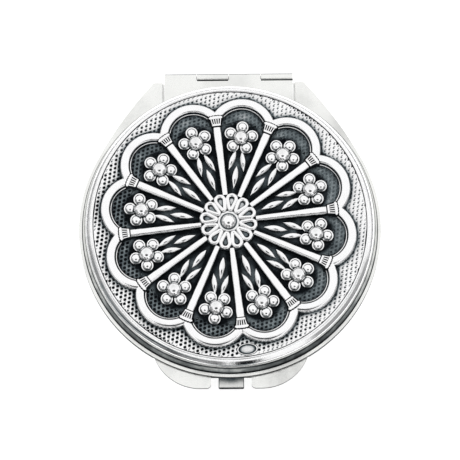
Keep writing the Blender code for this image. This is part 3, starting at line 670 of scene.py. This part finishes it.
def pit(patch, middle):
    """One cell of the stipple, a punched pit, smaller, shallower and paler towards one side."""
    toward_shallow_side = clamped(0.45 + 0.55 * (middle.dot(PIT_SHALLOW_SIDE) / (24.0 * MM)))
    fade = clamped((STIPPLE_OUTER - middle.length) / (0.5 * MM), 0.15)
    radius = (0.4 - 0.17 * toward_shallow_side) * fade * MM
    deep = (0.25 - 0.1 * toward_shallow_side) * fade * MM
    stain = (1.0 - 0.35 * toward_shallow_side) * fade
    rings = (  # share of the radius, height, tarnish
        (1.0, STIPPLE_TOP - 0.01 * MM, min(1.0, 0.08 + ground_tarnish(middle.x, middle.y))),
        (0.84, STIPPLE_TOP - 0.45 * deep, stain),
        (0.45, STIPPLE_TOP - 0.9 * deep, stain),
    )
    points = []
    for (i, j), offset in zip(PIT_SIGNS, PIT_BORDER):
        spot = middle + offset
        rise = 0.03 * MM if i and j else 0.0
        points.append((spot.x, spot.y, STIPPLE_TOP + rise, ground_tarnish(spot.x, spot.y)))
    for share, height, dark in rings:
        for offset in PIT_BORDER:
            spot = middle + offset.normalized() * radius * share
            points.append((spot.x, spot.y, height, dark))
    points.append((middle.x, middle.y, STIPPLE_TOP - deep, stain))
    loops = [list(range(k, k + 8)) for k in (0, 8, 16, 24)] + [[32]]
    faces = []
    for first, second in zip(loops, loops[1:]):
        faces += bridge(first, second)
    patch.add([clamp_point(point, STIPPLE_OUTER) for point in points], faces)


def make_stipple():
    """Rows of punched pits round the frame and in the heads of its pockets."""
    patch = Patch()
    columns, rows = 34, 42
    for column in range(-columns, columns + 1):
        for row in range(-rows, rows + 1):
            middle = PIT_ALONG * column + PIT_ACROSS * row
            if STIPPLE_INNER < middle.length < STIPPLE_OUTER + 0.3 * MM:
                pit(patch, middle)
    return patch.piece("plaque_stipple", polished, "lid", "polished_silver", math.radians(80))


FRAME_PROFILE = [  # distance from the lobe's centre, height, tarnish
    (8.15, 11.0, 1.0), (8.02, 11.2, 1.0), (7.9, 11.55, 0.75), (7.78, 11.92, 0.5), (7.72, 12.05, 0.8),
    (7.62, 12.22, 0.05), (7.46, 12.31, 0.0), (7.1, 12.36, 0.0), (6.6, 12.38, 0.0), (6.2, 12.37, 0.0),
    (5.98, 12.33, 0.0), (5.88, 12.24, 0.1), (5.82, 12.0, 0.9), (5.78, 11.75, 1.0), (5.72, 11.66, 0.95),
    (5.64, 11.75, 0.1), (5.5, 11.78, 0.0), (5.4, 11.72, 0.15), (5.34, 11.45, 0.95), (5.32, 11.0, 1.0),
]  # fmt: skip


def make_frame():
    """Scalloped band with a small inner step, run round all twelve lobes. Its outer slope has a
    painted highlight where it faces the front and painted shade where it faces the back."""
    patch = Patch()
    steps = 40
    spoke_reach = LOBE_CENTRE * math.sin(HALF)
    sections = []
    for angle in LOBE_ANGLES:
        for step in range(steps + 1):
            share = 2 * step / steps - 1
            section = []
            for distance, height, dark in FRAME_PROFILE:
                radius = distance * MM
                swing = HALF + math.asin(min(1.0, spoke_reach / radius))
                bow = share * swing
                x = LOBE_CENTRE + radius * math.cos(bow)
                y = radius * math.sin(bow)
                # Painted highlight on the outer slope where it faces the front, painted shade where it
                # faces the back
                if 7.7 < distance < 8.0:
                    dark *= clamped(0.95 + 0.9 * math.sin(angle + bow), 0.25, 1.2)
                section.append((*turned(x, y, angle), height * MM, dark))
            sections.append(section)
    sweep(patch, sections, closed=True)
    return embossed(patch, "plaque_frame")


SPOKE_PROFILE = [  # distance outside the spoke's half width, height, tarnish
    (0.22, 11.0, 1.0), (0.17, 11.5, 1.0), (0.1, 11.85, 0.95), (0.05, 12.05, 0.6), (-0.02, 12.2, 0.05),
    (-0.12, 12.28, 0.0), (-0.3, 12.33, 0.0),
]  # fmt: skip


def make_spokes():
    """Twelve spokes that widen outwards, each a little uneven."""
    patch = Patch()
    steps = 14
    for angle in SPOKE_ANGLES:
        sections = []
        for step in range(steps + 1):
            share = step / steps
            x = SPOKE_START + (SPOKE_END - SPOKE_START) * share
            half = SPOKE_INNER_HALF + (SPOKE_OUTER_HALF - SPOKE_INNER_HALF) * share
            half += 0.03 * MM * math.sin(5.0 * angle + 9.0 * share)
            right = [(half + out * MM, height * MM, dark) for out, height, dark in SPOKE_PROFILE]
            loop = right + [(0.0, 12.34 * MM, 0.0)] + [(-y, z, dark) for y, z, dark in reversed(right)]
            sections.append([(*turned(x, y, angle), z, dark) for y, z, dark in loop])
        sweep(patch, sections)
    return embossed(patch, "plaque_spokes")


def pad(patch, outline, low, high, edge=0.06 * MM):
    """Flat-topped block with eased edges and tarnished sides."""
    middle = sum((Vector(point) for point in outline), Vector((0.0, 0.0))) / len(outline)
    sections = []
    for height, pulled, dark in ((low, 0.0, 1.0), (high - 1.5 * edge, 0.0, 0.8), (high, edge, 0.0)):
        ring = []
        for point in outline:
            toward = middle - Vector(point)
            spot = Vector(point) + toward.normalized() * pulled
            ring.append((spot.x, spot.y, height, dark))
        sections.append(ring)
    sweep(patch, sections)


def fan_outline(grow):
    """Edge of a fan, as (along, across) in mm, from the collar's left end round its rim."""
    points = [(22.7 - grow, 0.98 + grow), (23.3, 1.1 + grow)]
    points += [(24.4, 1.38 + grow), (24.65, 1.66 + grow)]
    for scallop in range(5):
        for part in (0.25, 0.5, 0.75, 1.0):
            v = (1.45 + 0.8 * grow) * (1 - 2 * (scallop + part) / 5)
            points.append((25.0 + grow - 0.07 * v * v + 0.12 * math.sin(math.pi * part), v))
    return points + [(u, -v) for u, v in points[3::-1]]


def placed(points, angle):
    """Points (along, across) in mm laid out along an angle."""
    out = Vector(polar(MM, angle))
    left = sideways_of(out)
    return [tuple(out * u + left * v) for u, v in points]


def make_fans():
    """A collar, five flutes and a scalloped rim where each spoke meets the frame, on a dark
    bed that shows as their outline."""
    patch = Patch()
    collar = [(22.7, 0.98), (23.2, 1.08), (23.2, -1.08), (22.7, -0.98)]
    rim = [(24.35, 1.4), *fan_outline(0.0)[3:-3], (24.35, -1.4)]
    for angle in SPOKE_ANGLES:
        bed = placed(fan_outline(0.25), angle)
        sweep(patch, [[(*spot, z * MM, 1.0) for spot in bed] for z in (11.6, 12.44)])
        pad(patch, placed(collar, angle), FAN_FOOT, FAN_TOP)
        pad(patch, placed(rim, angle), FAN_FOOT, FAN_TOP)
        for flute in (-2, -1, 0, 1, 2):
            near, far = flute * 0.44, flute * 0.56
            bar = [(23.1, near - 0.09), (24.45, far - 0.12), (24.45, far + 0.12), (23.1, near + 0.09)]
            pad(patch, placed(bar, angle), FAN_FOOT, FAN_TOP, 0.03 * MM)
    return embossed(patch, "plaque_fans", math.radians(50))


def ball(patch, centre, radius, top, steps=28, edge=70, shade=None, collar=0.0):
    """Round-headed stud on a short stem, with a flat collar if one is asked for; its skirt
    takes painted shade below an angle in degrees, and so does wherever the shade function of a point says."""
    dome = radius - collar
    low = min(dome, top - ROOT - 0.3 * MM)
    power, rings = 2 / 2.4, 14
    profile = [(0.0, top, 0.0)]
    for ring in range(1, rings + 1):
        angle = math.pi / 2 * ring / rings
        # Painted shade on the flanks steeper than the edge angle
        dark = clamped((angle - math.radians(edge)) * 3.2)
        across, up = math.sin(angle) ** power, max(0.0, math.cos(angle)) ** power
        if collar and ring > rings - 3:
            break
        profile.append((dome * across, top - low * (1.0 - up), dark))
    if collar:
        level = profile[-1][1]
        profile += [
            (dome + 0.3 * collar, level - 0.02 * MM, 0.0),
            (dome + 0.75 * collar, level - 0.05 * MM, 0.0),
            (radius, level - 0.16 * MM, 0.9),
            (radius + 0.02 * MM, level - 0.4 * MM, 1.0),
        ]
    profile += [(radius, top - low - 0.2 * MM, 1.0), (radius, ROOT, 1.0), (0.0, ROOT, 1.0)]
    start = len(patch.points)
    turn(patch, profile, steps, centre)
    if shade:
        for index in range(start, len(patch.points)):
            patch.patina_and_shade[index] = min(1.0, patch.patina_and_shade[index] + shade(*patch.points[index]))


def make_flowers():
    """Five collared beads round a taller one in the head of each lobe."""
    patch = Patch()
    petal_ring, petal_radius, collar, bead_radius = 2.62 * MM, 1.42 * MM, 0.24 * MM, 1.78 * MM
    for angle in LOBE_ANGLES:
        middle = Vector(polar(FLOWER_RADIUS, angle))
        spots = [middle + Vector(polar(petal_ring, angle + 2 * math.pi * k / 5)) for k in range(5)]
        for spot in spots:

            def crease_and_front_shade(x, y, z, spot=spot):
                """Painted shade where a bead meets its neighbours, and a painted dark crescent along the
                front of its dome.
                """
                gaps = [math.dist((x, y), middle) - bead_radius]
                gaps += [math.dist((x, y), other) - petal_radius for other in spots if other != spot]
                crease = math.exp(-max(0.0, min(gaps) + 0.02 * MM) / (0.09 * MM))
                away = math.dist((x, y), spot)
                front = max(0.0, (spot.y - y) / max(away, 0.01 * MM))
                band = math.exp(-(((away - (petal_radius - collar - 0.12 * MM)) / (0.13 * MM)) ** 2))
                return 0.9 * crease + 0.75 * front * band

            ball(patch, spot, petal_radius, 12.35 * MM, 36, 78, crease_and_front_shade, collar)

        def upper_side_shade(x, y, z, film=middle + Vector((-0.2, 0.5)) * MM):
            """Painted shade on the upper side of the middle bead."""
            return 0.16 * max(0.0, 1.0 - math.dist((x, y), film) / (1.4 * MM))

        ball(patch, middle, bead_radius, 13.2 * MM, 44, 60, upper_side_shade)
    return embossed(patch, "plaque_flowers")


def leaf(patch, radius, angle, length, width, tilt):
    """Pointed leaf with a broad rounded back, its front half a little darker with painted shade."""
    centre = Vector(polar(radius, angle))
    along = Vector(polar(1.0, angle + tilt))
    sideways = sideways_of(along)
    steps, sides = 18, 12
    sections = []
    for step in range(steps + 1):
        share = step / steps
        swell = max(0.02, math.sin(math.pi * share) ** 0.85)
        spine = centre + along * length * (share - 0.5)
        section = []
        for side in range(sides + 1):
            around = math.pi * side / sides
            across = width / 2 * swell * math.copysign(abs(math.cos(around)) ** 0.8, math.cos(around))
            height = 11.15 * MM + (0.8 * MM * swell + 0.25 * MM) * math.sin(around) ** 0.6
            spot = spine + sideways * across
            # Painted shade on the half of the leaf that faces the front
            front_half = across * sideways.y < 0.0 and 0 < side < sides
            dark = 0.9 if side in (0, sides) else 0.3 * front_half * min(1.0, abs(across) / (0.4 * width))
            section.append((spot.x, spot.y, height, dark))
        ends = [spine + sideways * width / 2 * swell * s for s in (-1, 1)]
        section += [(*end, ROOT, 1.0) for end in ends]
        sections.append(section)
    sweep(patch, sections)


def make_leaves():
    """Three pointed leaves between each flower and the middle."""
    patch = Patch()
    for angle in LOBE_ANGLES:
        leaf(patch, 10.75 * MM, angle, 5.5 * MM, 1.66 * MM, 0.0)
        for side in (-1, 1):
            tilt = -side * math.radians(17)
            leaf(patch, 14.75 * MM, angle + side * math.radians(4.7), 5.0 * MM, 1.5 * MM, tilt)
    return embossed(patch, "plaque_leaves")


def petal_path(near, far, near_radius, far_radius, steps):
    """Points (u, v) of a drop's outline: two rounds on the u axis joined by their tangents."""
    lean = math.acos((near_radius - far_radius) / (far - near))
    path = arc((far, 0.0), far_radius, -lean, lean, steps)
    path += arc((near, 0.0), near_radius, lean, 2 * math.pi - lean, steps // 2)
    full = []
    for first, second in zip(path, path[1:] + path[:1]):
        full.append(first)
        if math.dist(first, second) > 0.5 * MM:
            full += [tuple(Vector(first).lerp(Vector(second), k / 4)) for k in (1, 2, 3)]
    return full


def hollow_petal(patch, spots):
    """Tube along a closed loop of points, bright on top, with painted shade down its sides and underside.
    """
    tube, sides = 0.44 * MM, 14
    sections = []
    for index, spot in enumerate(spots):
        ahead = spots[(index + 1) % len(spots)] - spots[index - 1]
        side = sideways_of(ahead).normalized()
        section = []
        for corner in range(sides):
            around = 2 * math.pi * corner / sides
            across = math.copysign(abs(math.cos(around)) ** 0.7, math.cos(around))
            where = spot + side * tube * across
            lift = math.sin(around)
            section.append((where.x, where.y, 12.4 * MM + 0.38 * MM * lift, clamped(0.35 - 1.6 * lift)))
        sections.append(section)
    sweep(patch, sections, closed=True)


def make_daisy():
    """Twelve hollow petals round a ball, on a low plinth."""
    patch = Patch()
    plinth = [
        (0.0, 12.3, 0.1), (1.85, 12.3, 0.8), (2.0, 12.3, 0.3), (2.12, 12.3, 0.05), (2.4, 12.3, 0.1),
        (2.55, 12.2, 0.85), (2.9, 12.05, 0.95), (6.3, 12.0, 0.95), (6.62, 11.9, 0.7), (6.75, 11.6, 0.9),
        (6.85, 11.0, 1.0), (0.0, 11.0, 1.0),
    ]  # fmt: skip
    turn(patch, millimetres(plinth), 144)
    path = petal_path(3.15 * MM, 5.25 * MM, 0.34 * MM, 0.99 * MM, 22)
    for angle in LOBE_ANGLES:
        out = Vector(polar(1.0, angle))
        left = sideways_of(out)
        spots = [out * u + left * v for u, v in path]
        hollow_petal(patch, spots)
        middle = out * 4.9 * MM
        rings = [[(*spot, 12.0 * MM, 1.0) for spot in spots]]
        # Patina inside each petal, with a painted highlight lightening the petals that point to the back
        for share, dark in ((0.55, 0.95), (0.3, 0.62 - 0.25 * max(0.0, out.y))):
            rings.append([(*middle.lerp(spot, share), 12.2 * MM, dark) for spot in spots])
        sweep(patch, rings)
    ball(patch, (0.0, 0.0), 1.8 * MM, 13.45 * MM, 48, 72)
    return embossed(patch, "plaque_daisy")


def make_cartouche():
    """Plain oval pad with a raised rim, left blank, below the cusp at the front."""
    patch = Patch()
    centre = Vector((3.7 * MM, -29.35 * MM))
    long_half, short_half = 2.35 * MM, 1.35 * MM
    tilt = math.radians(5)
    profile = (
        (1.12, 11.0, 1.0), (1.06, 11.25, 1.0), (1.0, 11.34, 0.5), (0.95, 11.42, 0.0),
        (0.88, 11.42, 0.0), (0.84, 11.3, 1.0), (0.74, 11.28, 0.85), (0.55, 11.3, 0.35), (0.25, 11.33, 0.2),
    )  # fmt: skip
    sections = []
    for share, height, dark in profile:
        ring = []
        for step in range(48):
            t = 2 * math.pi * step / 48
            x, y = long_half * share * math.cos(t), short_half * share * math.sin(t)
            x, y = turned(x, y, tilt)
            ring.append((centre.x + x, centre.y + y, height * MM, dark))
        sections.append(ring)
    sweep(patch, sections)
    return patch.piece("plaque_blank_oval", polished, "lid", "polished_silver")


# Case


def wall_dark_reflections(angle):
    """Painted dark reflections round the side of the lid, on an even darker tone: darkest on each side of
    the button.
    """
    return 0.12 + 0.5 * facing(angle, 302) ** 6 + 0.4 * facing(angle, 232) ** 6


def make_lid_cup():
    """Spun cup of the lid: deck, rolled rim, flared wall and foot."""
    patch = Patch()
    foot = CUP_RADIUS
    rim = CUP_RADIUS - 0.75 * MM
    # Painted shade in the gap beside the plaque, under the rolled rim and at the foot, where the parts
    # shade each other
    profile = [
        (0.0, DECK_TOP, 0.5), (32.3 * MM, DECK_TOP, 0.9),
        (rim - 0.3 * MM, DECK_TOP, 0.4), (rim - 0.22 * MM, DECK_TOP, 0.0),
        (rim - 0.12 * MM, DECK_TOP - 0.06 * MM, 0.1), (rim - 0.05 * MM, DECK_TOP - 0.15 * MM, 0.7),
        (rim, DECK_TOP - 0.3 * MM, 1.0), (rim, DECK_TOP - 0.5 * MM, 1.0),
        (rim + 0.04 * MM, DECK_TOP - 0.62 * MM, 0.4), (rim + 0.15 * MM, 8.3 * MM, 0.1),
        (rim + 0.33 * MM, 7.6 * MM, 0.1), (foot - 0.25 * MM, 7.0 * MM, 0.16),
        (foot - 0.15 * MM, 6.7 * MM, 0.7), (foot - 0.05 * MM, 6.35 * MM, 1.0),
        (foot, CUP_FOOT, 1.0), (foot - 0.5 * MM, CUP_FOOT, 0.5),
        (rim - 0.2 * MM, 7.9 * MM, 0.5), (rim - 0.5 * MM, 8.95 * MM, 0.5), (0.0, 8.95 * MM, 0.5),
    ]  # fmt: skip
    turn(patch, profile, STEPS)
    # Painted dark reflections on the wall
    for index, (x, y, z) in enumerate(patch.points):
        if CUP_FOOT < z < 8.9 * MM and math.hypot(x, y) > rim:
            patch.patina_and_shade[index] += wall_dark_reflections(math.atan2(y, x))
    made = patch.piece("lid_cup_spun", spun, "lid", "satin_silver")
    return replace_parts(made, "lid_cup")


def make_base_shell():
    """Shallow spun pan with the window for the button in its wall."""
    made = turned_node(
        "base_shell_spun", "base_shell",
        [(0, 0.05, 0.2), (26, 0.05, 0.2), (26.3, 0.0, 0.1), (31.4, 0, 0.1), (32.4, 0.12, 0.1),
         (33.1, 0.45, 0.1), (33.6, 0.95, 0.1), (33.87, 1.6, 0.12), (34, 2.4, 0.15), (34, 3.7, 0.2),
         (33.97, 4.2, 0.6), (33.2, 4.2, 0.6), (33.2, 2.6, 0.3), (33, 1.8, 0.3), (32.3, 1.1, 0.3),
         (31.2, 0.8, 0.3), (0, 0.8, 0.3)],
        spun, "base", "satin_silver",
    )  # fmt: skip
    low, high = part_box("latch_button")
    clear = 0.2 * MM
    corner_low = (low.x - clear, -35.5 * MM, low.z - clear)
    corner_high = (high.x + clear, -32.0 * MM, BASE_WALL_TOP + MM)
    return applied(made, [box_mesh(corner_low, corner_high)], "DIFFERENCE")


def foot_outline():
    """Right-hand foot from the notch's back to the case circle, seen from above."""
    front = -FOOT_FRONT
    corner, notch, bow = 1.0 * MM, 4.6 * MM, 11.2 * MM
    inner = arc((notch + corner, front + corner), corner, math.pi, 1.5 * math.pi, 8)
    outer = arc((7.0 * MM, front + bow), bow, -math.pi / 2, -math.radians(21), 28)
    return [(notch, -34.55 * MM)] + inner + outer


def shoulder_outline():
    """Right-hand edge of a plate from the case circle to the hinge's cut-out."""
    radius, corner, rounding = 93.0 * MM, 17.6 * MM, 0.45 * MM
    centre = -Vector(polar(radius - CASE_RADIUS, SHOULDER_TANGENT))
    stop = math.asin((SHOULDER_BACK - centre.y) / radius)
    points = arc(centre, radius, SHOULDER_TANGENT, stop, 24)
    points = [point for point in points if point[0] > corner + 0.3 * MM]
    middle = (corner - 0.35 * MM, SHOULDER_BACK - rounding)
    return points + arc(middle, rounding, math.radians(30), math.pi / 2, 5)


def cutout_outline(gap):
    """Right half of the hinge cut-out's edge, from the back to the middle of its front."""
    half, radius = LEAF_HALF + gap, 32.0 * MM
    side = math.acos(half / radius)
    return [(half, SHOULDER_BACK)] + arc((0, 0), radius, side, math.pi / 2, 24)


def plate_outline(with_feet):
    """Outline of the base plate, with its feet and a close cut-out, or of the lid plate."""
    right = foot_outline() if with_feet else []
    start = math.atan2(right[-1][1], right[-1][0]) + math.radians(1) if right else -math.pi / 2
    right += arc((0, 0), CASE_RADIUS, start, SHOULDER_TANGENT - math.radians(0.5), 110)
    right += shoulder_outline() + cutout_outline(0.12 * MM if with_feet else 0.5 * MM)
    left = [(-x, y) for x, y in reversed(right)]
    return right + (left[1:] if with_feet else left[1:-1])


def hook_slot():
    """Slot that the lid's hook goes through."""
    half, front, back = 2.3 * MM, -32.1 * MM, -30.4 * MM
    return [(-half, front), (half, front), (half, back), (-half, back)]


def make_plate(body, bottom, top, front_rivets):
    """Bevelled plate of the base or the lid, with its hole, hook slot and rivet holes."""
    node_name = body + "_plate"
    hole = arc((0, 0), PLATE_HOLE, 0, 2 * math.pi, STEPS)[:-1]
    outlines = [plate_outline(body == "base"), hole, hook_slot()]
    for x, y in (LEAF_RIVETS, front_rivets):
        for side in (-1, 1):
            outlines.append(arc((side * x, y), RIVET_HOLE, 0, 2 * math.pi, 24)[:-1])
    mesh = flat_mesh(node_name + "_rounded", outlines, bottom, top)
    made = finish_mesh(node_name + "_rounded", mesh, planished, body)
    bevel(made, 0.22 * MM, 4)
    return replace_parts(made, node_name)


def make_button():
    """Rounded push button, with painted shade at the back where the plates shade it."""
    low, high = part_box("latch_button")
    length = high.y - low.y
    mesh = box_mesh(low, high)
    mesh.name = "latch_button_pressed"
    shape = bmesh.new()
    shape.from_mesh(mesh)
    for share in (0.15, 0.3, 0.5, 0.7, 0.85):
        cut = (0.0, low.y + length * share, 0.0)
        everything = shape.verts[:] + shape.edges[:] + shape.faces[:]
        bmesh.ops.bisect_plane(shape, geom=everything, plane_co=cut, plane_no=(0.0, 1.0, 0.0))
    shape.to_mesh(mesh)
    shape.free()
    layer = mesh.attributes.new("patina_and_shade", "FLOAT", "POINT")
    # Painted shade, deepening towards the back of the button
    depths = [(vertex.co.y - low.y) / length for vertex in mesh.vertices]
    layer.data.foreach_set("value", [0.12 + 0.75 * clamped(depth - 0.1) for depth in depths])
    made = finish_mesh("latch_button_rounded", mesh, planished, "latch")
    bevel(made, 0.3 * MM, 5)
    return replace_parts(made, "latch_button")


def make_hinge_leaf(body):
    """Leaf with every second knuckle, drawn with fine rounds; its riveted tab is joggled
    over the plate."""
    node_name, lid_side = body + "_hinge_leaf", body == "lid"
    low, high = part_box(node_name)
    near = PARTING + LEAF_GAP if lid_side else PARTING - LEAF_THICKNESS
    far = PARTING + LEAF_THICKNESS if lid_side else PARTING - LEAF_GAP
    radius = 32.2 * MM
    cleared_back = HINGE_Y - 1.0 * MM
    side = math.acos(LEAF_HALF / radius)
    front = arc((0, 0), radius, math.pi - side, side, 40)
    bay = 2 * LEAF_HALF / KNUCKLES
    edge, knuckles = [], []
    for index in range(KNUCKLES):
        own = index % 2 == (0 if lid_side else 1)
        left = -LEAF_HALF + index * bay
        trim_left = LEAF_GAP / 2 if index else 0.0
        trim_right = LEAF_GAP / 2 if index < KNUCKLES - 1 else 0.0
        back = HINGE_Y if own else cleared_back
        grow = -1.0 if own else 1.0
        edge.append((left - grow * trim_left, back))
        edge.append((left + bay + grow * trim_right, back))
        if own:
            knuckles.append(knuckle_mesh(left + trim_left, left + bay - trim_right, 0.82 * MM, 0.45 * MM))
    mesh = flat_mesh(node_name + "_fine", [edge + front[::-1]], near, far)
    made = finish_mesh(node_name + "_fine", mesh, planished, body)
    tab_thickness, inset = 0.6 * MM, 0.05 * MM
    tab_low = high.z - tab_thickness if lid_side else low.z
    tab = box_mesh((-5.5 * MM, 29.2 * MM, tab_low), (5.5 * MM, 32.6 * MM, tab_low + tab_thickness))
    step_low, step_high = min(near, tab_low) + inset, max(far, tab_low + tab_thickness) - inset
    joggle = box_mesh((-5.45 * MM, 32.2 * MM, step_low), (5.45 * MM, 32.58 * MM, step_high))
    applied(made, knuckles + [joggle, tab], "UNION")
    bore = rod_mesh(-LEAF_HALF - MM, LEAF_HALF + MM, 0.45 * MM)
    applied(made, [bore], "DIFFERENCE")
    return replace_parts(bevel(made, 0.13 * MM, 3, 60), node_name)


def make_mirrors():
    """Ground and bevelled glasses in their bezels; the lid's is hollowed to magnify."""
    turned_node(
        "base_mirror_flat", "base_mirror",
        [(0, 4.3, 0), (26.6, 4.3, 0), (27.3, 4.17, 0), (27.62, 4.0, 0), (27.7, 3.9, 0),
         (27.7, 2.7, 0), (27.6, 2.6, 0), (0, 2.6, 0)],
        glass_finish, "base", "mirror_glass",
    )  # fmt: skip
    shares = [ring / 24 for ring in range(25)]
    face = [(27.3 * share, 6.5 - 0.55 * share * share, 0) for share in shares]
    turned_node(
        "lid_mirror_magnifying", "lid_mirror",
        face + [(27.6, 6.0, 0), (27.7, 6.15, 0), (27.7, 7.6, 0), (27.6, 7.7, 0), (0, 7.7, 0)],
        glass_finish, "lid", "mirror_glass",
    )  # fmt: skip
    turned_node(
        "base_bezel_rolled", "base_mirror_bezel",
        [(26.92, 4.45, 0.4), (26.9, 4.62, 0.1), (27.0, 4.85, 0), (27.25, 5.03, 0), (27.6, 5.1, 0),
         (28.1, 5.09, 0), (28.36, 5.0, 0), (28.45, 4.8, 0.3), (28.45, 0.95, 0.5), (27.95, 0.95, 0.5),
         (27.95, 4.4, 0.6), (27.0, 4.4, 0.6)],
        spun, "base", "satin_silver",
    )  # fmt: skip
    turned_node(
        "lid_bezel_rolled", "lid_mirror_bezel",
        [(26.92, 5.8, 0.4), (26.9, 5.7, 0.1), (27.0, 5.5, 0), (27.25, 5.36, 0), (27.6, 5.3, 0),
         (28.1, 5.31, 0), (28.36, 5.38, 0), (28.45, 5.55, 0.3), (28.45, 8.8, 0.5), (27.95, 8.8, 0.5),
         (27.95, 5.85, 0.6), (27.0, 5.85, 0.6)],
        spun, "lid", "satin_silver",
    )  # fmt: skip


# Scene


def make_floor():
    """Wide sheet of white paper that glows a little, so that no edge of it shows."""
    mesh = bpy.data.meshes.new("floor")
    half = 3.0
    corners = [(-half, -half, 0), (half, -half, 0), (half, half, 0), (-half, half, 0)]
    mesh.from_pydata(corners, [], [(0, 1, 2, 3)])
    made = bpy.data.objects.new("floor", mesh)
    bpy.context.scene.collection.objects.link(made)
    finish, tree, shader, coordinate = new_material("floor_paper")
    grain = noise_node(tree, coordinate, 400.0, 2.0)
    stops = ((0.3, (0.955, 0.955, 0.955)), (0.7, (0.97, 0.97, 0.97)))
    tree.links.new(ramp_node(tree, grain, stops), shader.inputs["Base Color"])
    shader.inputs["Roughness"].default_value = 1.0
    shader.inputs["Specular IOR Level"].default_value = 0.0
    shader.inputs["Emission Color"].default_value = (1.0, 1.0, 1.0, 1.0)
    shader.inputs["Emission Strength"].default_value = 0.5
    mesh.materials.append(finish)


OPENINGS = (  # direction from the front, half width, both in degrees, and depth
    (-31, 6, 0.95), (-17, 9, 0.6), (-7.5, 3, 1.0), (8, 7, 1.0), (66, 24, 0.66), (-70, 26, 0.62),
)  # fmt: skip
HOLE_HEIGHT = 1.325  # radians above the horizon


def make_world():
    """White studio tent with dark openings low at the front, a dark horizon and the dark
    hole it is looked at through."""
    world = bpy.data.worlds.new("studio_tent")
    bpy.context.scene.world = world
    world.use_nodes = True
    tree = world.node_tree
    background = tree.nodes["Background"]
    direction = node(tree, "ShaderNodeTexCoord").outputs["Generated"]
    split = node(tree, "ShaderNodeSeparateXYZ")
    tree.links.new(direction, split.inputs[0])
    x, y, z = split.outputs
    azimuth = math_node(tree, "ARCTAN2", x, math_node(tree, "MULTIPLY", y, -1.0))
    openings = None
    for centre, half, depth in OPENINGS:
        away = math_node(tree, "ABSOLUTE", math_node(tree, "SUBTRACT", azimuth, math.radians(centre)))
        inside = range_node(tree, away, math.radians(half + 2), math.radians(half - 2), 0.0, depth)
        openings = inside if openings is None else math_node(tree, "MAXIMUM", openings, inside)
    low = range_node(tree, z, -0.05, 0.02, 0.0, 1.0)
    high = range_node(tree, z, 0.58, 0.68, 1.0, 0.0)
    mask = math_node(tree, "MULTIPLY", openings, math_node(tree, "MULTIPLY", low, high))
    horizon = math_node(tree, "MULTIPLY", low, range_node(tree, z, 0.05, 0.22, 0.88, 0.0))
    mask = math_node(tree, "MAXIMUM", mask, horizon)
    toward = node(tree, "ShaderNodeVectorMath", operation="DOT_PRODUCT")
    toward.inputs[1].default_value = (0.0, -math.cos(HOLE_HEIGHT), math.sin(HOLE_HEIGHT))
    tree.links.new(direction, toward.inputs[0])
    inner, outer = math.cos(math.radians(12)), math.cos(math.radians(17))
    hole = range_node(tree, toward.outputs["Value"], outer, inner, 0.0, 0.95)
    mask = math_node(tree, "MAXIMUM", mask, hole)
    colour = ramp_node(tree, mask, ((0.0, (1.0, 1.0, 1.0)), (1.0, (0.004, 0.005, 0.007))))
    tree.links.new(colour, background.inputs["Color"])
    background.inputs["Strength"].default_value = 1.03


def make_camera():
    """Looks down at the lid from the front, almost along its axis."""
    elevation = math.radians(75.9)
    distance = 0.675
    aim = Vector((0.0, -0.00176, 0.012))
    back = Vector((0.0, -math.cos(elevation), math.sin(elevation)))
    data = bpy.data.cameras.new("camera")
    data.lens = 232.0
    data.sensor_width = 36.0
    made = bpy.data.objects.new("camera", data)
    bpy.context.scene.collection.objects.link(made)
    made.location = aim + back * distance
    made.rotation_mode = "QUATERNION"
    roll = Matrix.Rotation(math.radians(-0.5), 4, "Z")
    upright = (-back).to_track_quat("-Z", "Y").to_matrix().to_4x4()
    made.rotation_quaternion = (upright @ roll).to_quaternion()
    bpy.context.scene.camera = made


def carry_over():
    """Finishes for the CAD nodes that stay."""
    finishes = {
        "satin_silver": planished,
        "polished_silver": polished,
        "latch_steel": steel_finish,
        "mirror_glass": glass_finish,
        "backing_foam": foam_finish,
        "resin_filler": resin_finish,
    }
    slots = {part["node"]: part["material_slot"] for part in frame["record"]["subparts"]}
    for name, piece in frame["nodes"].items():
        finish = finishes[slots[name]]
        if piece.material_slots:
            for material_slot in piece.material_slots:
                material_slot.material = finish
        else:
            piece.data.materials.append(finish)


def main():
    """Every piece, the floor, the light and the camera."""
    carry_over()
    dish = make_dish()
    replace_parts(dish, "embossed_plaque")
    make_stipple()
    make_frame()
    make_spokes()
    make_fans()
    make_flowers()
    make_leaves()
    make_daisy()
    make_cartouche()
    make_lid_cup()
    make_base_shell()
    make_plate("base", BASE_PLATE_BOTTOM, BASE_PLATE_TOP, GUIDE_RIVETS)
    make_plate("lid", LID_PLATE_BOTTOM, LID_PLATE_TOP, CATCH_RIVETS)
    make_button()
    make_hinge_leaf("lid")
    make_hinge_leaf("base")
    make_mirrors()
    make_floor()
    make_world()
    make_camera()
    bpy.context.scene.view_settings.view_transform = "Standard"


main()
